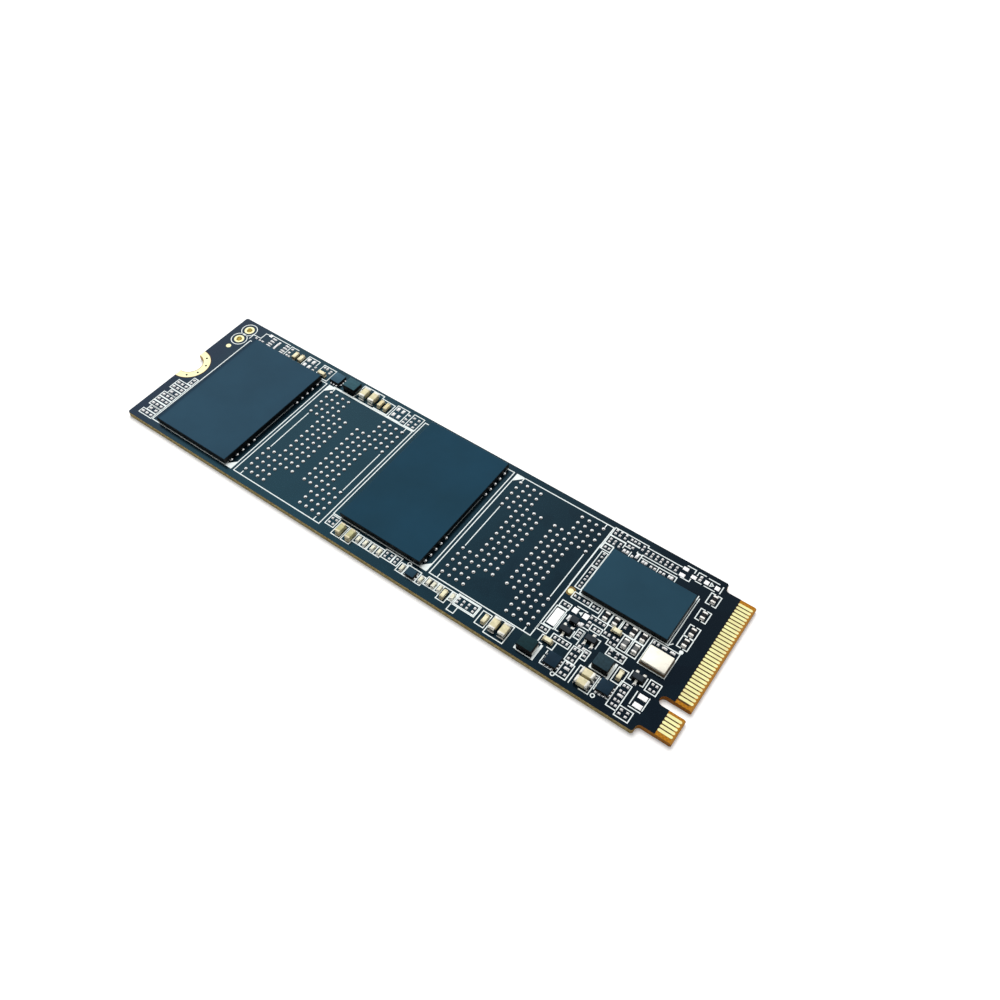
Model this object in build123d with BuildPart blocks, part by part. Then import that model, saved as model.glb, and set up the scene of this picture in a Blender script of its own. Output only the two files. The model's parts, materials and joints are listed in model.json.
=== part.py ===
from build123d import *
import os

# A single-sided solid-state drive module on a keyed edge connector, in millimetres.
# X runs from the mounting end to the connector tip, Y across the board and Z up.
# The origin is the middle of the flat back face.

# Circuit board
board_thickness = 0.8
copper_thickness = 0.035  # gold-plated copper, level with the coated faces
mount_zone = 3.4  # mounting end to the first flash site
parts_strip = 3.0  # row of small parts along the far edge
near_margin = 1.0  # near edge to the near flash packages
far_margin = 0.83  # far edge to the far flash packages
corner_cut = 0.2

# Flash packages, on a row of four sites of which two stay open
flash_width = 12.0
flash_length = 18.0
flash_height = 0.78
flash_gap = 2.5  # between neighbouring sites
package_edge = 0.05  # softened top edge of a moulded package
site_count = 4
ball_pitch = 1.0
bump_radius = 0.26  # bare solder bump
bump_height = 0.19
bump_sides = 6
bump_clearance = 0.03  # bare bumps to the underside of a package
joint_radius = 0.27  # solder joint under a package
joint_sides = 3

# Controller
controller_length = 11.0
controller_width = 7.0
controller_height = 0.65
controller_site_gap = 1.42  # last flash site to the controller
controller_tab_gap = 2.18  # controller to the connector shoulders
controller_near = 11.0  # near edge of the board to the controller
controller_ball_pitch = 0.8
controller_ball_margin = 0.7
controller_ball_rows = 1  # rows of joints round the package
controller_joint_radius = 0.22

# Keyed edge connector
tab_length = 4.0
tab_margin = 0.5  # outer contact to the side of the tab
least_shoulder = 0.8
shoulder_radius = 0.5
tip_bevel = 0.2
coating_gap = 2.0  # connector tip to the edge of the coating
contact_pitch = 0.5
contact_width = 0.35
contact_setback = 0.22  # connector tip to the contacts
contact_stagger = 0.5  # of a pitch, between the two faces
contact_positions = 38  # on the top face, counting those lost to the key
key_first = 29  # first and last position lost to the key
key_last = 32
key_width = 1.2
key_depth = 3.5

# Half-round mounting notch, plated holes and round pads
notch_radius = 1.75
notch_ring_top = 2.75  # outer radius of the plated ring
notch_ring_back = 3.1
plated_hole_radius = 0.38
plated_pad_radius = 0.7
plated_hole_setback = 2.0  # mounting end to the plated holes
plated_hole_inset = 1.65  # far edge to the first plated hole
plated_hole_spacing = 2.05
plated_hole_count = 2
round_sides = 8  # of the plated holes and the round pads
top_pad_radius = 0.38
back_pad_radius = 0.52

# Crystal
crystal_length = 3.2
crystal_width = 2.5
crystal_base_height = 0.28
crystal_lid_height = 0.5
crystal_lid_margin = 0.1
crystal_lid_corner = 0.3
crystal_lid_edge = 0.07

# Power inductors
inductor_length = 2.1
inductor_width = 1.65
inductor_height = 1.0
inductor_edge = 0.06
terminal_thickness = 0.06
terminal_foot = 0.45
terminal_rise = 0.4
terminal_width = 1.3

# Leadless chips: three converters, one load switch and one diode
land_width = 0.24
land_length = 0.3
land_reach = 0.12  # how far a land shows beside the body
land_height = 0.06
land_pitch = 0.45
chip_height = 0.5
converter_length = 1.6
converter_width = 1.6
converter_land_count = 3  # on each of the four sides
switch_length = 1.2
switch_width = 1.0
switch_land_count = 2  # on each end
diode_length = 0.95
diode_width = 0.8
diode_land_width = 0.65

# Three-lead transistors
transistor_length = 1.4
transistor_width = 0.8
transistor_height = 0.5
transistor_lift = 0.05
transistor_edge = 0.1
lead_width = 0.26
lead_thickness = 0.11
lead_reach = 0.42
lead_foot = 0.24
lead_pitch = 0.9
lead_root = 0.3  # leads leave the body at this height

# Two-ended chips: length, width and height over the plated ends, and the length of one end
end_proud = 0.02  # the plated ends stand this far round the body
large_cap_length = 1.64
large_cap_width = 0.9
large_cap_height = 0.8
large_cap_end = 0.36
medium_cap_length = 1.4
medium_cap_width = 0.7
medium_cap_height = 0.75
medium_cap_end = 0.3
small_cap_length = 1.12
small_cap_width = 0.55
small_cap_height = 0.5
small_cap_end = 0.24
pale_cap_length = 0.86
pale_cap_width = 0.45
pale_cap_height = 0.38
pale_cap_end = 0.2
resistor_length = 1.0
resistor_width = 0.58
resistor_height = 0.32
resistor_end = 0.26
resistor_gap = 0.42  # controller to the resistors below it
resistor_tab_gap = 0.45  # connector shoulders to the middle of the resistors beside them
bead_length = 1.1
bead_width = 0.6
bead_height = 0.5
bead_end = 0.28

# Sizes that follow from those above
site_pitch = flash_width + flash_gap
flash_zone = site_count * site_pitch
controller_zone = controller_site_gap + controller_length + controller_tab_gap
board_length = mount_zone + flash_zone + controller_zone + tab_length
tab_width = (contact_positions - 1) * contact_pitch + contact_width + 2 * tab_margin
board_width = max(near_margin + flash_length + parts_strip, tab_width + 2 * least_shoulder)
top = board_thickness
joint_height = bump_height + bump_clearance
x_mount = -board_length / 2
x_tip = board_length / 2
x_shoulder = x_tip - tab_length
x_zone = x_mount + mount_zone + flash_zone
y_far = board_width / 2
y_near = -board_width / 2
y_near_site = y_near + near_margin + flash_length / 2
y_far_site = y_far - far_margin - flash_length / 2
site_x = [x_mount + mount_zone + (number + 0.5) * site_pitch for number in range(site_count)]
flash_1 = (site_x[0], y_near_site)
open_site_1 = (site_x[1], y_near_site)
flash_2 = (site_x[2], y_far_site)
open_site_2 = (site_x[3], y_far_site)
y_field = y_near + controller_near
controller = (x_zone + controller_site_gap + controller_length / 2, y_field + controller_width / 2)
y_first_contact = (contact_positions - 1) * contact_pitch / 2
y_key = y_first_contact - (key_first + key_last + contact_stagger) / 2 * contact_pitch
contact_length = coating_gap - contact_setback
x_contact = x_tip - coating_gap + contact_length / 2
plated_holes_at = [
    (x_mount + plated_hole_setback, y_far - plated_hole_inset - number * plated_hole_spacing)
    for number in range(plated_hole_count)
]
resistor_row = resistor_gap + resistor_length / 2
on_board = (Align.CENTER, Align.CENTER, Align.MIN)


# Places of the small parts. Each is x, y and the turn in degrees, measured from a corner:
# the far edge at the mounting end, the near edge at the end of the flash sites, or the
# controller's near side at the end of the flash sites.
def far_edge(*places):
    return [Location((x_mount + x, y_far - y, top), (0, 0, turn)) for x, y, turn in places]


def near_edge(*places):
    return [Location((x_zone + x, y_near + y, top), (0, 0, turn)) for x, y, turn in places]


def below_controller(*places):
    return [Location((x_zone + x, y_field - y, top), (0, 0, turn)) for x, y, turn in places]


def beside_tab(*heights):
    return [Location((x_shoulder - resistor_tab_gap, y_field + y, top), (0, 0, 90)) for y in heights]


large_caps_at = (
    far_edge((23.1, 1.75, 90), (24.6, 1.75, 90))
    + near_edge((-4.15, 1.8, 90), (-2.85, 1.8, 90), (7.45, 2.62, 0), (7.45, 1.46, 0))
)
medium_caps_at = near_edge((-26.45, 1.72, 90), (-24.95, 1.72, 90))
small_caps_at = (
    far_edge((10.8, 1.75, 90), (11.8, 1.75, 90), (15.9, 2.2, 0), (25.9, 1.85, 90), (26.9, 1.85, 90))
    + near_edge((-11.16, 1.72, 90), (-5.46, 1.8, 90), (1.65, 3.65, 0), (10.3, 4.65, 90))
    + below_controller((7.25, 1.95, 0))
)
pale_caps_at = (
    near_edge((-23.9, 1.95, 90), (-22.86, 1.95, 90), (-21.73, 1.95, 90), (-20.76, 1.95, 90))
    + near_edge((-17.22, 1.78, 90), (-14.5, 1.78, 90), (-13.53, 2.05, 90))
    + near_edge((-12.84, 2.05, 90), (-11.99, 2.05, 90), (-10.17, 2.05, 90))
)
resistors_at = (
    below_controller((5.3, resistor_row, 90), (6.55, resistor_row, 90))
    + below_controller((8.82, resistor_row, 90), (10.1, resistor_row, 90))
    + beside_tab(8.03, 5.48, 2.85, 1.2)
)
beads_at = below_controller((8.8, 2.72, 90), (10.1, 2.72, 90))
inductors_at = far_edge((21, 1.8, 0)) + near_edge((0.2, 1.8, 0), (8.15, 4.6, 0))
converters_at = far_edge((18.4, 1.75, 0)) + near_edge((3.45, 1.9, 0), (9.75, 2.45, 0))
switch_at = near_edge((-15.85, 1.7, 0))
diode_at = below_controller((2.72, 3.55, 0))
transistors_at = below_controller((2.55, 5.12, 0), (5.5, 4.52, 180), (12.05, 5.5, 0))
crystal_at = below_controller((12.7, 2.58, 0))
top_pads_at = far_edge((1.8, 5.55, 0)) + below_controller((0.25, 0.4, 0))
back_pads_at = (
    near_edge((12.65, 8, 0), (10.4, 9.7, 0), (8.25, 9.9, 0), (10.45, 7.5, 0), (8.45, 7.8, 0), (3.8, 9.9, 0))
    + near_edge((4.3, 8, 0), (6.5, 5.6, 0), (9.25, 4.7, 0), (7.9, 2.3, 0), (11.9, 1.3, 0), (5.25, 1.65, 0))
    + near_edge((-3.4, 2.75, 0), (-16.2, 2.85, 0))
    + far_edge((21.7, 3.4, 0), (2.8, 6, 0))
)


def ball_columns(row):
    """Ball columns on each side of a flash site's middle, for a row counted from the middle."""
    if abs(row) >= 6:
        return range(3, 7)
    if abs(row) >= 4:
        return range(1, 7)
    return range(1, 5)


def ball_places(site, first_column, last_column):
    """Ball centres of one flash site, from one column to another counted from the middle."""
    return [
        (site[0] + side * column * ball_pitch, site[1] + row * ball_pitch)
        for row in range(-8, 9)
        for column in ball_columns(row)
        for side in (-1, 1)
        if first_column <= column <= last_column
    ]


def contact_places(positions, shift):
    """Contact centres across the connector, leaving out those lost to the key."""
    return [
        (x_contact, y_first_contact - (number + shift) * contact_pitch)
        for number in range(positions)
        if not key_first <= number <= key_last
    ]


pieces = {}

# Round pads on both faces
with BuildSketch(Plane.XY.offset(top)) as top_pad_outlines:
    with Locations(*[(place.position.X, place.position.Y) for place in top_pads_at]):
        RegularPolygon(top_pad_radius, round_sides)
with BuildSketch() as back_pad_outlines:
    with Locations(*[(place.position.X, place.position.Y) for place in back_pads_at]):
        RegularPolygon(back_pad_radius, round_sides)
with BuildPart() as top_pads:
    extrude(top_pad_outlines.sketch, amount=-copper_thickness)
with BuildPart() as back_pads:
    extrude(back_pad_outlines.sketch, amount=copper_thickness)
pieces["top_round_pads"] = top_pads.part
pieces["back_round_pads"] = back_pads.part

# Plated holes: a barrel through the board with a flat pad on each face
with BuildPart() as hole_plugs:
    for height, depth, radius in (
        (0, copper_thickness, plated_pad_radius),
        (0, board_thickness, plated_hole_radius + copper_thickness),
        (top - copper_thickness, copper_thickness, plated_pad_radius),
    ):
        with BuildSketch(Plane.XY.offset(height)):
            with Locations(*plated_holes_at):
                RegularPolygon(radius, round_sides)
        extrude(amount=depth)
with BuildPart() as plated_holes:
    add(hole_plugs.part)
    with BuildSketch():
        with Locations(*plated_holes_at):
            RegularPolygon(plated_hole_radius, round_sides)
    extrude(amount=board_thickness, mode=Mode.SUBTRACT)
pieces["plated_holes"] = plated_holes.part

# Circuit board: shoulders, key slot and notch, bare and thinner where the coating ends
with BuildPart() as circuit_board:
    with BuildSketch() as outline:
        with Locations(((x_mount + x_shoulder) / 2, 0)):
            Rectangle(x_shoulder - x_mount, board_width)
        with Locations(((x_mount + x_tip) / 2, 0)):
            Rectangle(x_tip - x_mount, tab_width)
        fillet(outline.vertices().group_by(Axis.X)[-2].sort_by(Axis.Y)[1:-1], shoulder_radius)
        chamfer(outline.vertices().group_by(Axis.Y)[0] + outline.vertices().group_by(Axis.Y)[-1], corner_cut)
        with Locations((x_tip, y_key)):
            SlotCenterToCenter(2 * key_depth - key_width, key_width, mode=Mode.SUBTRACT)
        with Locations((x_mount, 0)):
            Circle(notch_radius + copper_thickness, mode=Mode.SUBTRACT)
    extrude(amount=board_thickness)
    tip_edges = circuit_board.faces().sort_by(Axis.X)[-2:].edges().filter_by(Axis.Y)
    chamfer(tip_edges, tip_bevel + copper_thickness)
    with Locations((x_tip, 0, 0), (x_tip, 0, top - copper_thickness)):
        Box(2 * coating_gap, board_width, copper_thickness, align=on_board, mode=Mode.SUBTRACT)
    with Locations((x_mount, 0, top - copper_thickness)):
        Cylinder(notch_ring_top, copper_thickness, align=on_board, mode=Mode.SUBTRACT)
    with Locations((x_mount, 0, 0)):
        Cylinder(notch_ring_back, copper_thickness, align=on_board, mode=Mode.SUBTRACT)
    add(hole_plugs.part, mode=Mode.SUBTRACT)
    extrude(top_pad_outlines.sketch, amount=-copper_thickness, mode=Mode.SUBTRACT)
    extrude(back_pad_outlines.sketch, amount=copper_thickness, mode=Mode.SUBTRACT)
pieces["circuit_board"] = circuit_board.part

# Plated half ring of the notch
with BuildPart() as mounting_ring:
    with BuildSketch(Plane.YZ.offset(x_mount)):
        with BuildLine():
            Polyline(
                (-notch_radius, 0),
                (-notch_ring_back, 0),
                (-notch_ring_back, copper_thickness),
                (-notch_radius - copper_thickness, copper_thickness),
                (-notch_radius - copper_thickness, top - copper_thickness),
                (-notch_ring_top, top - copper_thickness),
                (-notch_ring_top, top),
                (-notch_radius, top),
                close=True,
            )
        make_face()
    revolve(axis=Axis((x_mount, 0, 0), (0, 0, 1)), revolution_arc=180)
pieces["mounting_ring"] = mounting_ring.part

# Edge contacts, half a pitch apart on the two faces
with BuildPart() as top_contacts:
    with BuildSketch(Plane.XY.offset(top)):
        with Locations(*contact_places(contact_positions, 0)):
            Rectangle(contact_length, contact_width)
    extrude(amount=-copper_thickness)
with BuildPart() as bottom_contacts:
    with BuildSketch():
        with Locations(*contact_places(contact_positions - 1, contact_stagger)):
            Rectangle(contact_length, contact_width)
    extrude(amount=copper_thickness)
pieces["top_edge_contacts"] = top_contacts.part
pieces["bottom_edge_contacts"] = bottom_contacts.part

# Bare solder bumps: both open sites, and the columns beside the flash packages
with BuildSketch() as bump_foot:
    RegularPolygon(bump_radius, bump_sides)
with BuildPart() as bump:
    loft([bump_foot.sketch.face(), Vertex(0, 0, bump_height)], ruled=True)
bump_groups = {
    "open_site_1_bumps": ball_places(open_site_1, 1, 6),
    "open_site_2_bumps": ball_places(open_site_2, 1, 6),
    "flash_1_side_bumps": ball_places(flash_1, 6, 6),
    "flash_2_side_bumps": ball_places(flash_2, 6, 6),
}
for name, places in bump_groups.items():
    with BuildPart() as bumps:
        with Locations(*[(x, y, top) for x, y in places]):
            add(bump.part, clean=False)
    pieces[name] = bumps.part

# Flash packages on their solder joints
for name, site in (("flash_1", flash_1), ("flash_2", flash_2)):
    with BuildPart() as joints:
        with BuildSketch(Plane.XY.offset(top)):
            with Locations(*ball_places(site, 1, 5)):
                RegularPolygon(joint_radius, joint_sides)
        extrude(amount=joint_height)
    with BuildPart() as package:
        with Locations((*site, top + joint_height)):
            Box(flash_width, flash_length, flash_height, align=on_board)
        chamfer(package.faces().sort_by(Axis.Z)[-1].edges(), package_edge)
    pieces[name + "_joints"] = joints.part
    pieces[name + "_package"] = package.part

# Controller on the rows of joints round its edge
ball_columns_x = round((controller_length - 2 * controller_ball_margin) / controller_ball_pitch)
ball_rows_y = round((controller_width - 2 * controller_ball_margin) / controller_ball_pitch)
controller_balls = [
    (
        controller[0] + (column - ball_columns_x / 2) * controller_ball_pitch,
        controller[1] + (row - ball_rows_y / 2) * controller_ball_pitch,
    )
    for column in range(ball_columns_x + 1)
    for row in range(ball_rows_y + 1)
    if min(column, row, ball_columns_x - column, ball_rows_y - row) < controller_ball_rows
]
with BuildPart() as controller_joints:
    with BuildSketch(Plane.XY.offset(top)):
        with Locations(*controller_balls):
            RegularPolygon(controller_joint_radius, joint_sides)
    extrude(amount=joint_height)
with BuildPart() as controller_package:
    with Locations((*controller, top + joint_height)):
        Box(controller_length, controller_width, controller_height, align=on_board)
    chamfer(controller_package.faces().sort_by(Axis.Z)[-1].edges(), package_edge)
pieces["controller_joints"] = controller_joints.part
pieces["controller_package"] = controller_package.part

# Crystal: ceramic base under a drawn metal lid
with BuildPart() as crystal_base:
    with Locations(*crystal_at):
        Box(crystal_length, crystal_width, crystal_base_height, align=on_board)
with BuildPart() as crystal_lid:
    with Locations(*crystal_at):
        with Locations((0, 0, crystal_base_height)):
            Box(
                crystal_length - 2 * crystal_lid_margin,
                crystal_width - 2 * crystal_lid_margin,
                crystal_lid_height,
                align=on_board,
            )
    chamfer(crystal_lid.edges().filter_by(Axis.Z), crystal_lid_corner)
    chamfer(crystal_lid.faces().sort_by(Axis.Z)[-1].edges(), crystal_lid_edge)
pieces["crystal_base"] = crystal_base.part
pieces["crystal_lid"] = crystal_lid.part

# Power inductors: moulded core in two bent terminals
with BuildPart() as terminal:
    with BuildSketch(Plane.XZ):
        with BuildLine():
            Polyline(
                (inductor_length / 2 - terminal_foot, 0),
                (inductor_length / 2, 0),
                (inductor_length / 2, terminal_rise),
                (inductor_length / 2 - terminal_thickness, terminal_rise),
                (inductor_length / 2 - terminal_thickness, terminal_thickness),
                (inductor_length / 2 - terminal_foot, terminal_thickness),
                close=True,
            )
        make_face()
    extrude(amount=terminal_width / 2, both=True)
for number, place in enumerate(inductors_at, start=1):
    with BuildPart() as core:
        with Locations(place):
            with Locations((0, 0, terminal_thickness)):
                Box(
                    inductor_length - 2 * terminal_thickness,
                    inductor_width,
                    inductor_height - terminal_thickness,
                    align=on_board,
                )
        chamfer(core.faces().sort_by(Axis.Z)[-1].edges(), inductor_edge)
    with BuildPart() as terminals:
        with Locations(place):
            with PolarLocations(0, 2):
                add(terminal.part)
    pieces[f"inductor_{number}_core"] = core.part
    pieces[f"inductor_{number}_terminals"] = terminals.part


def leadless_chip(name, place, length, width, side_count, end_count, land=land_width):
    """A moulded chip on flat lands along its long sides and its ends."""
    with BuildPart() as body:
        with Locations(place):
            with Locations((0, 0, land_height)):
                Box(length, width, chip_height, align=on_board)
        chamfer(body.faces().sort_by(Axis.Z)[-1].edges(), package_edge)
    with BuildPart() as lands:
        with Locations(place):
            for reach, count, turn in ((width / 2, side_count, 0), (length / 2, end_count, 90)):
                for side in (0, 180):
                    for step in range(count):
                        along = (step - (count - 1) / 2) * land_pitch
                        with Locations(Location((0, 0, 0), (0, 0, turn + side))):
                            with Locations((along, reach + land_reach - land_length / 2, 0)):
                                Box(land, land_length, land_height, align=on_board)
    pieces[name + "_body"] = body.part
    pieces[name + "_lands"] = lands.part


for number, place in enumerate(converters_at, start=1):
    name = f"converter_{number}"
    leadless_chip(name, place, converter_length, converter_width, converter_land_count, converter_land_count)
leadless_chip("load_switch", switch_at[0], switch_length, switch_width, 0, switch_land_count)
leadless_chip("diode", diode_at[0], diode_length, diode_width, 0, 1, diode_land_width)

# Three-lead transistors: moulded body between bent leads, two on one side and one on the other
with BuildPart() as lead:
    with BuildSketch(Plane.YZ):
        with BuildLine():
            face = transistor_width / 2
            bend = face + lead_reach - lead_foot
            Polyline(
                (face, lead_root),
                (bend, lead_root),
                (bend, lead_thickness),
                (face + lead_reach, lead_thickness),
                (face + lead_reach, 0),
                (bend - lead_thickness, 0),
                (bend - lead_thickness, lead_root - lead_thickness),
                (face, lead_root - lead_thickness),
                close=True,
            )
        make_face()
    extrude(amount=lead_width / 2, both=True)
for number, place in enumerate(transistors_at, start=1):
    with BuildPart() as body:
        with Locations(place):
            with Locations((0, 0, transistor_lift)):
                Box(transistor_length, transistor_width, transistor_height, align=on_board)
        chamfer(body.faces().sort_by(Axis.Z)[-1].edges(), transistor_edge)
    with BuildPart() as leads:
        with Locations(place):
            with Locations((-lead_pitch / 2, 0, 0), (lead_pitch / 2, 0, 0), Location((0, 0, 0), (0, 0, 180))):
                add(lead.part)
    pieces[f"transistor_{number}_body"] = body.part
    pieces[f"transistor_{number}_leads"] = leads.part


def two_ended_chips(name, places, length, width, height, end):
    """Chips with a plated cap on each end, as one group of bodies and one of ends."""
    with BuildPart() as bodies:
        with Locations(*places):
            with Locations((0, 0, end_proud)):
                Box(length - 2 * end, width - 2 * end_proud, height - 2 * end_proud, align=on_board)
    with BuildPart() as ends:
        with Locations(*places):
            with Locations(((end - length) / 2, 0, 0), ((length - end) / 2, 0, 0)):
                Box(end, width, height, align=on_board)
    pieces[name + "_bodies"] = bodies.part
    pieces[name + "_ends"] = ends.part


two_ended_chips(
    "large_capacitor", large_caps_at, large_cap_length, large_cap_width, large_cap_height, large_cap_end
)
two_ended_chips(
    "medium_capacitor",
    medium_caps_at,
    medium_cap_length,
    medium_cap_width,
    medium_cap_height,
    medium_cap_end,
)
two_ended_chips(
    "small_capacitor", small_caps_at, small_cap_length, small_cap_width, small_cap_height, small_cap_end
)
two_ended_chips(
    "pale_capacitor", pale_caps_at, pale_cap_length, pale_cap_width, pale_cap_height, pale_cap_end
)
two_ended_chips("resistor", resistors_at, resistor_length, resistor_width, resistor_height, resistor_end)
two_ended_chips("ferrite_bead", beads_at, bead_length, bead_width, bead_height, bead_end)

os.makedirs("parts", exist_ok=True)
for name, piece in pieces.items():
    piece.label = name
    export_step(piece, f"parts/{name}.step")
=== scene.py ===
"""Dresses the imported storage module: finishes, solder, printed lines and small parts on a white stage."""

import json
import logging
import math
from dataclasses import dataclass, replace
from enum import Enum

import bmesh
import bpy
import numpy as np
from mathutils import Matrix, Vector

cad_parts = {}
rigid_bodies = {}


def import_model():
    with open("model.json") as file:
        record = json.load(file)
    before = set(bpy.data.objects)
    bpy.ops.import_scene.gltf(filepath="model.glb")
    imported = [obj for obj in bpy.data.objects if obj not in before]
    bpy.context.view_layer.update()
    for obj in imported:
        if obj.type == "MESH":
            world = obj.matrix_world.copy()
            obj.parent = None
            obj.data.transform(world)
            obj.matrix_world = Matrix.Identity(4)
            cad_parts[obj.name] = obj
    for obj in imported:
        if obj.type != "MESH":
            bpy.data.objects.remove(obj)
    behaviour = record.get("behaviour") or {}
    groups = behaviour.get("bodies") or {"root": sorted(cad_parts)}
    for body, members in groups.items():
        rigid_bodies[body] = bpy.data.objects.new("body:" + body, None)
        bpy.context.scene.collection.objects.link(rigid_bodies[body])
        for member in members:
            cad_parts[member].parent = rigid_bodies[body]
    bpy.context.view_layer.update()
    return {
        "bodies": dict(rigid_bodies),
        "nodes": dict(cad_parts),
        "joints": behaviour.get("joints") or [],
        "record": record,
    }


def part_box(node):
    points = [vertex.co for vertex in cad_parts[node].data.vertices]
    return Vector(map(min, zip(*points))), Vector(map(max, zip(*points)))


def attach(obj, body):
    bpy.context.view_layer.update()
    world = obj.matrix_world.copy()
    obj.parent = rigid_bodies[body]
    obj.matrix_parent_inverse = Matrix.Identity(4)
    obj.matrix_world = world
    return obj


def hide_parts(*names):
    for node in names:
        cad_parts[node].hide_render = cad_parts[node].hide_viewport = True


MM = 0.001
BOARD_TOP = 0.8
BOARD_START = -40.0
COATING_END = 38.0
INK_RISE = 0.012
THICK_INK_RISE = 0.02
GRAIN_DETAIL = 3
LEAST_ROUGHNESS = 0.02
ARC_POINTS = 5
JOINT_BULGE = 0.16
ROUND_SHADING = 60
CAP_SHADING = 50
WELD_DISTANCE = 2e-8
QUARTER = math.pi / 2
log = logging.getLogger("storage_module")

Array = np.ndarray
Socket = bpy.types.NodeSocket
Nodes = dict[str, bpy.types.Object]
Box = tuple[float, float, float, float]
Line = tuple[float, float, float, float]
Point = tuple[float, float]
Place = tuple[float, float, float]
Stroke = Box | tuple[Point, ...]
Colour = tuple[int, int, int]
Shade = tuple[float, float, float, float]


class Slot(Enum):
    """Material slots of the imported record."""

    GOLD = "gold"
    SOLDER = "solder"
    ENDS = "plated_ends"
    CHIP = "chip_mould"
    CORE = "inductor_core"
    CAP = "cap_ceramic"
    PALE = "pale_ceramic"
    FILM = "resistor_film"
    FERRITE = "ferrite"
    CRYSTAL_BASE = "crystal_ceramic"
    CRYSTAL_LID = "crystal_metal"


class Corner(Enum):
    """Corner of a package site that carries the first-ball mark, as signs along X and Y."""

    NEAR_RIGHT = (1, -1)
    FAR_LEFT = (-1, 1)


class SolidPoints(Enum):
    """Points that one solid of a packed group has in its mesh."""

    BLOCK = 24
    BUMP = 24
    JOINT = 18
    ROUND_PAD = 48
    PLATED_HOLE = 192


def linear(colour: Colour) -> Shade:
    """Turns a screen colour from 0 to 255 into the linear colour that a shader takes.

    Args:
        colour: red, green and blue from 0 to 255.

    Returns:
        Linear red, green, blue and an alpha of one.
    """
    share = np.array(colour) / 255
    value = np.where(share <= 0.04045, share / 12.92, ((share + 0.055) / 1.055) ** 2.4)
    return (*value.tolist(), 1.0)


def tinted(colour: Colour, share: float) -> Colour:
    """Makes a screen colour lighter or darker by a share of itself."""
    return tuple(int(min(255, max(0, part * (1 + share)))) for part in colour)


class Graph:
    """Adds shader nodes to one node tree and joins them."""

    def __init__(self, tree: bpy.types.NodeTree) -> None:
        """Starts on the tree of a material or of the world."""
        self.nodes = tree.nodes
        self.links = tree.links

    def feed(self, socket: Socket, value: object) -> None:
        """Joins a socket to another one, or sets its own value.

        Args:
            socket: the input to fill.
            value: another node's output, or a plain value.
        """
        if isinstance(value, Socket):
            self.links.new(value, socket)
        else:
            socket.default_value = value

    def node(self, kind: str, *values: object) -> bpy.types.Node:
        """Adds a node and fills its first inputs.

        Args:
            kind: Blender's name of the node.
            values: what its inputs take, in their order.

        Returns:
            The new node.
        """
        node = self.nodes.new(kind)
        for socket, value in zip(node.inputs, values):
            self.feed(socket, value)
        return node

    def number(self, operation: str, *values: object) -> Socket:
        """Works out one number from others.

        Args:
            operation: the sum to make, by its Blender name.
            values: numbers or sockets that it takes.

        Returns:
            The socket that holds the result.
        """
        node = self.node("ShaderNodeMath", *values)
        node.operation = operation
        return node.outputs[0]

    def between(self, value: Socket, low: float, high: float, start: float = 0, end: float = 1) -> Socket:
        """Maps a number from the range low to high onto start to end, and stops at both ends."""
        return self.node("ShaderNodeMapRange", value, low, high, start, end).outputs[0]

    def seen(self) -> Socket:
        """Gives 1 for rays that see, straight on, in gloss or through glass, and 0 for rays that only light.

        Returns:
            The socket that holds the result.
        """
        path = self.node("ShaderNodeLightPath").outputs
        seen = self.number("MAXIMUM", path["Is Camera Ray"], path["Is Glossy Ray"])
        return self.number("MAXIMUM", seen, path["Is Transmission Ray"])


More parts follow.
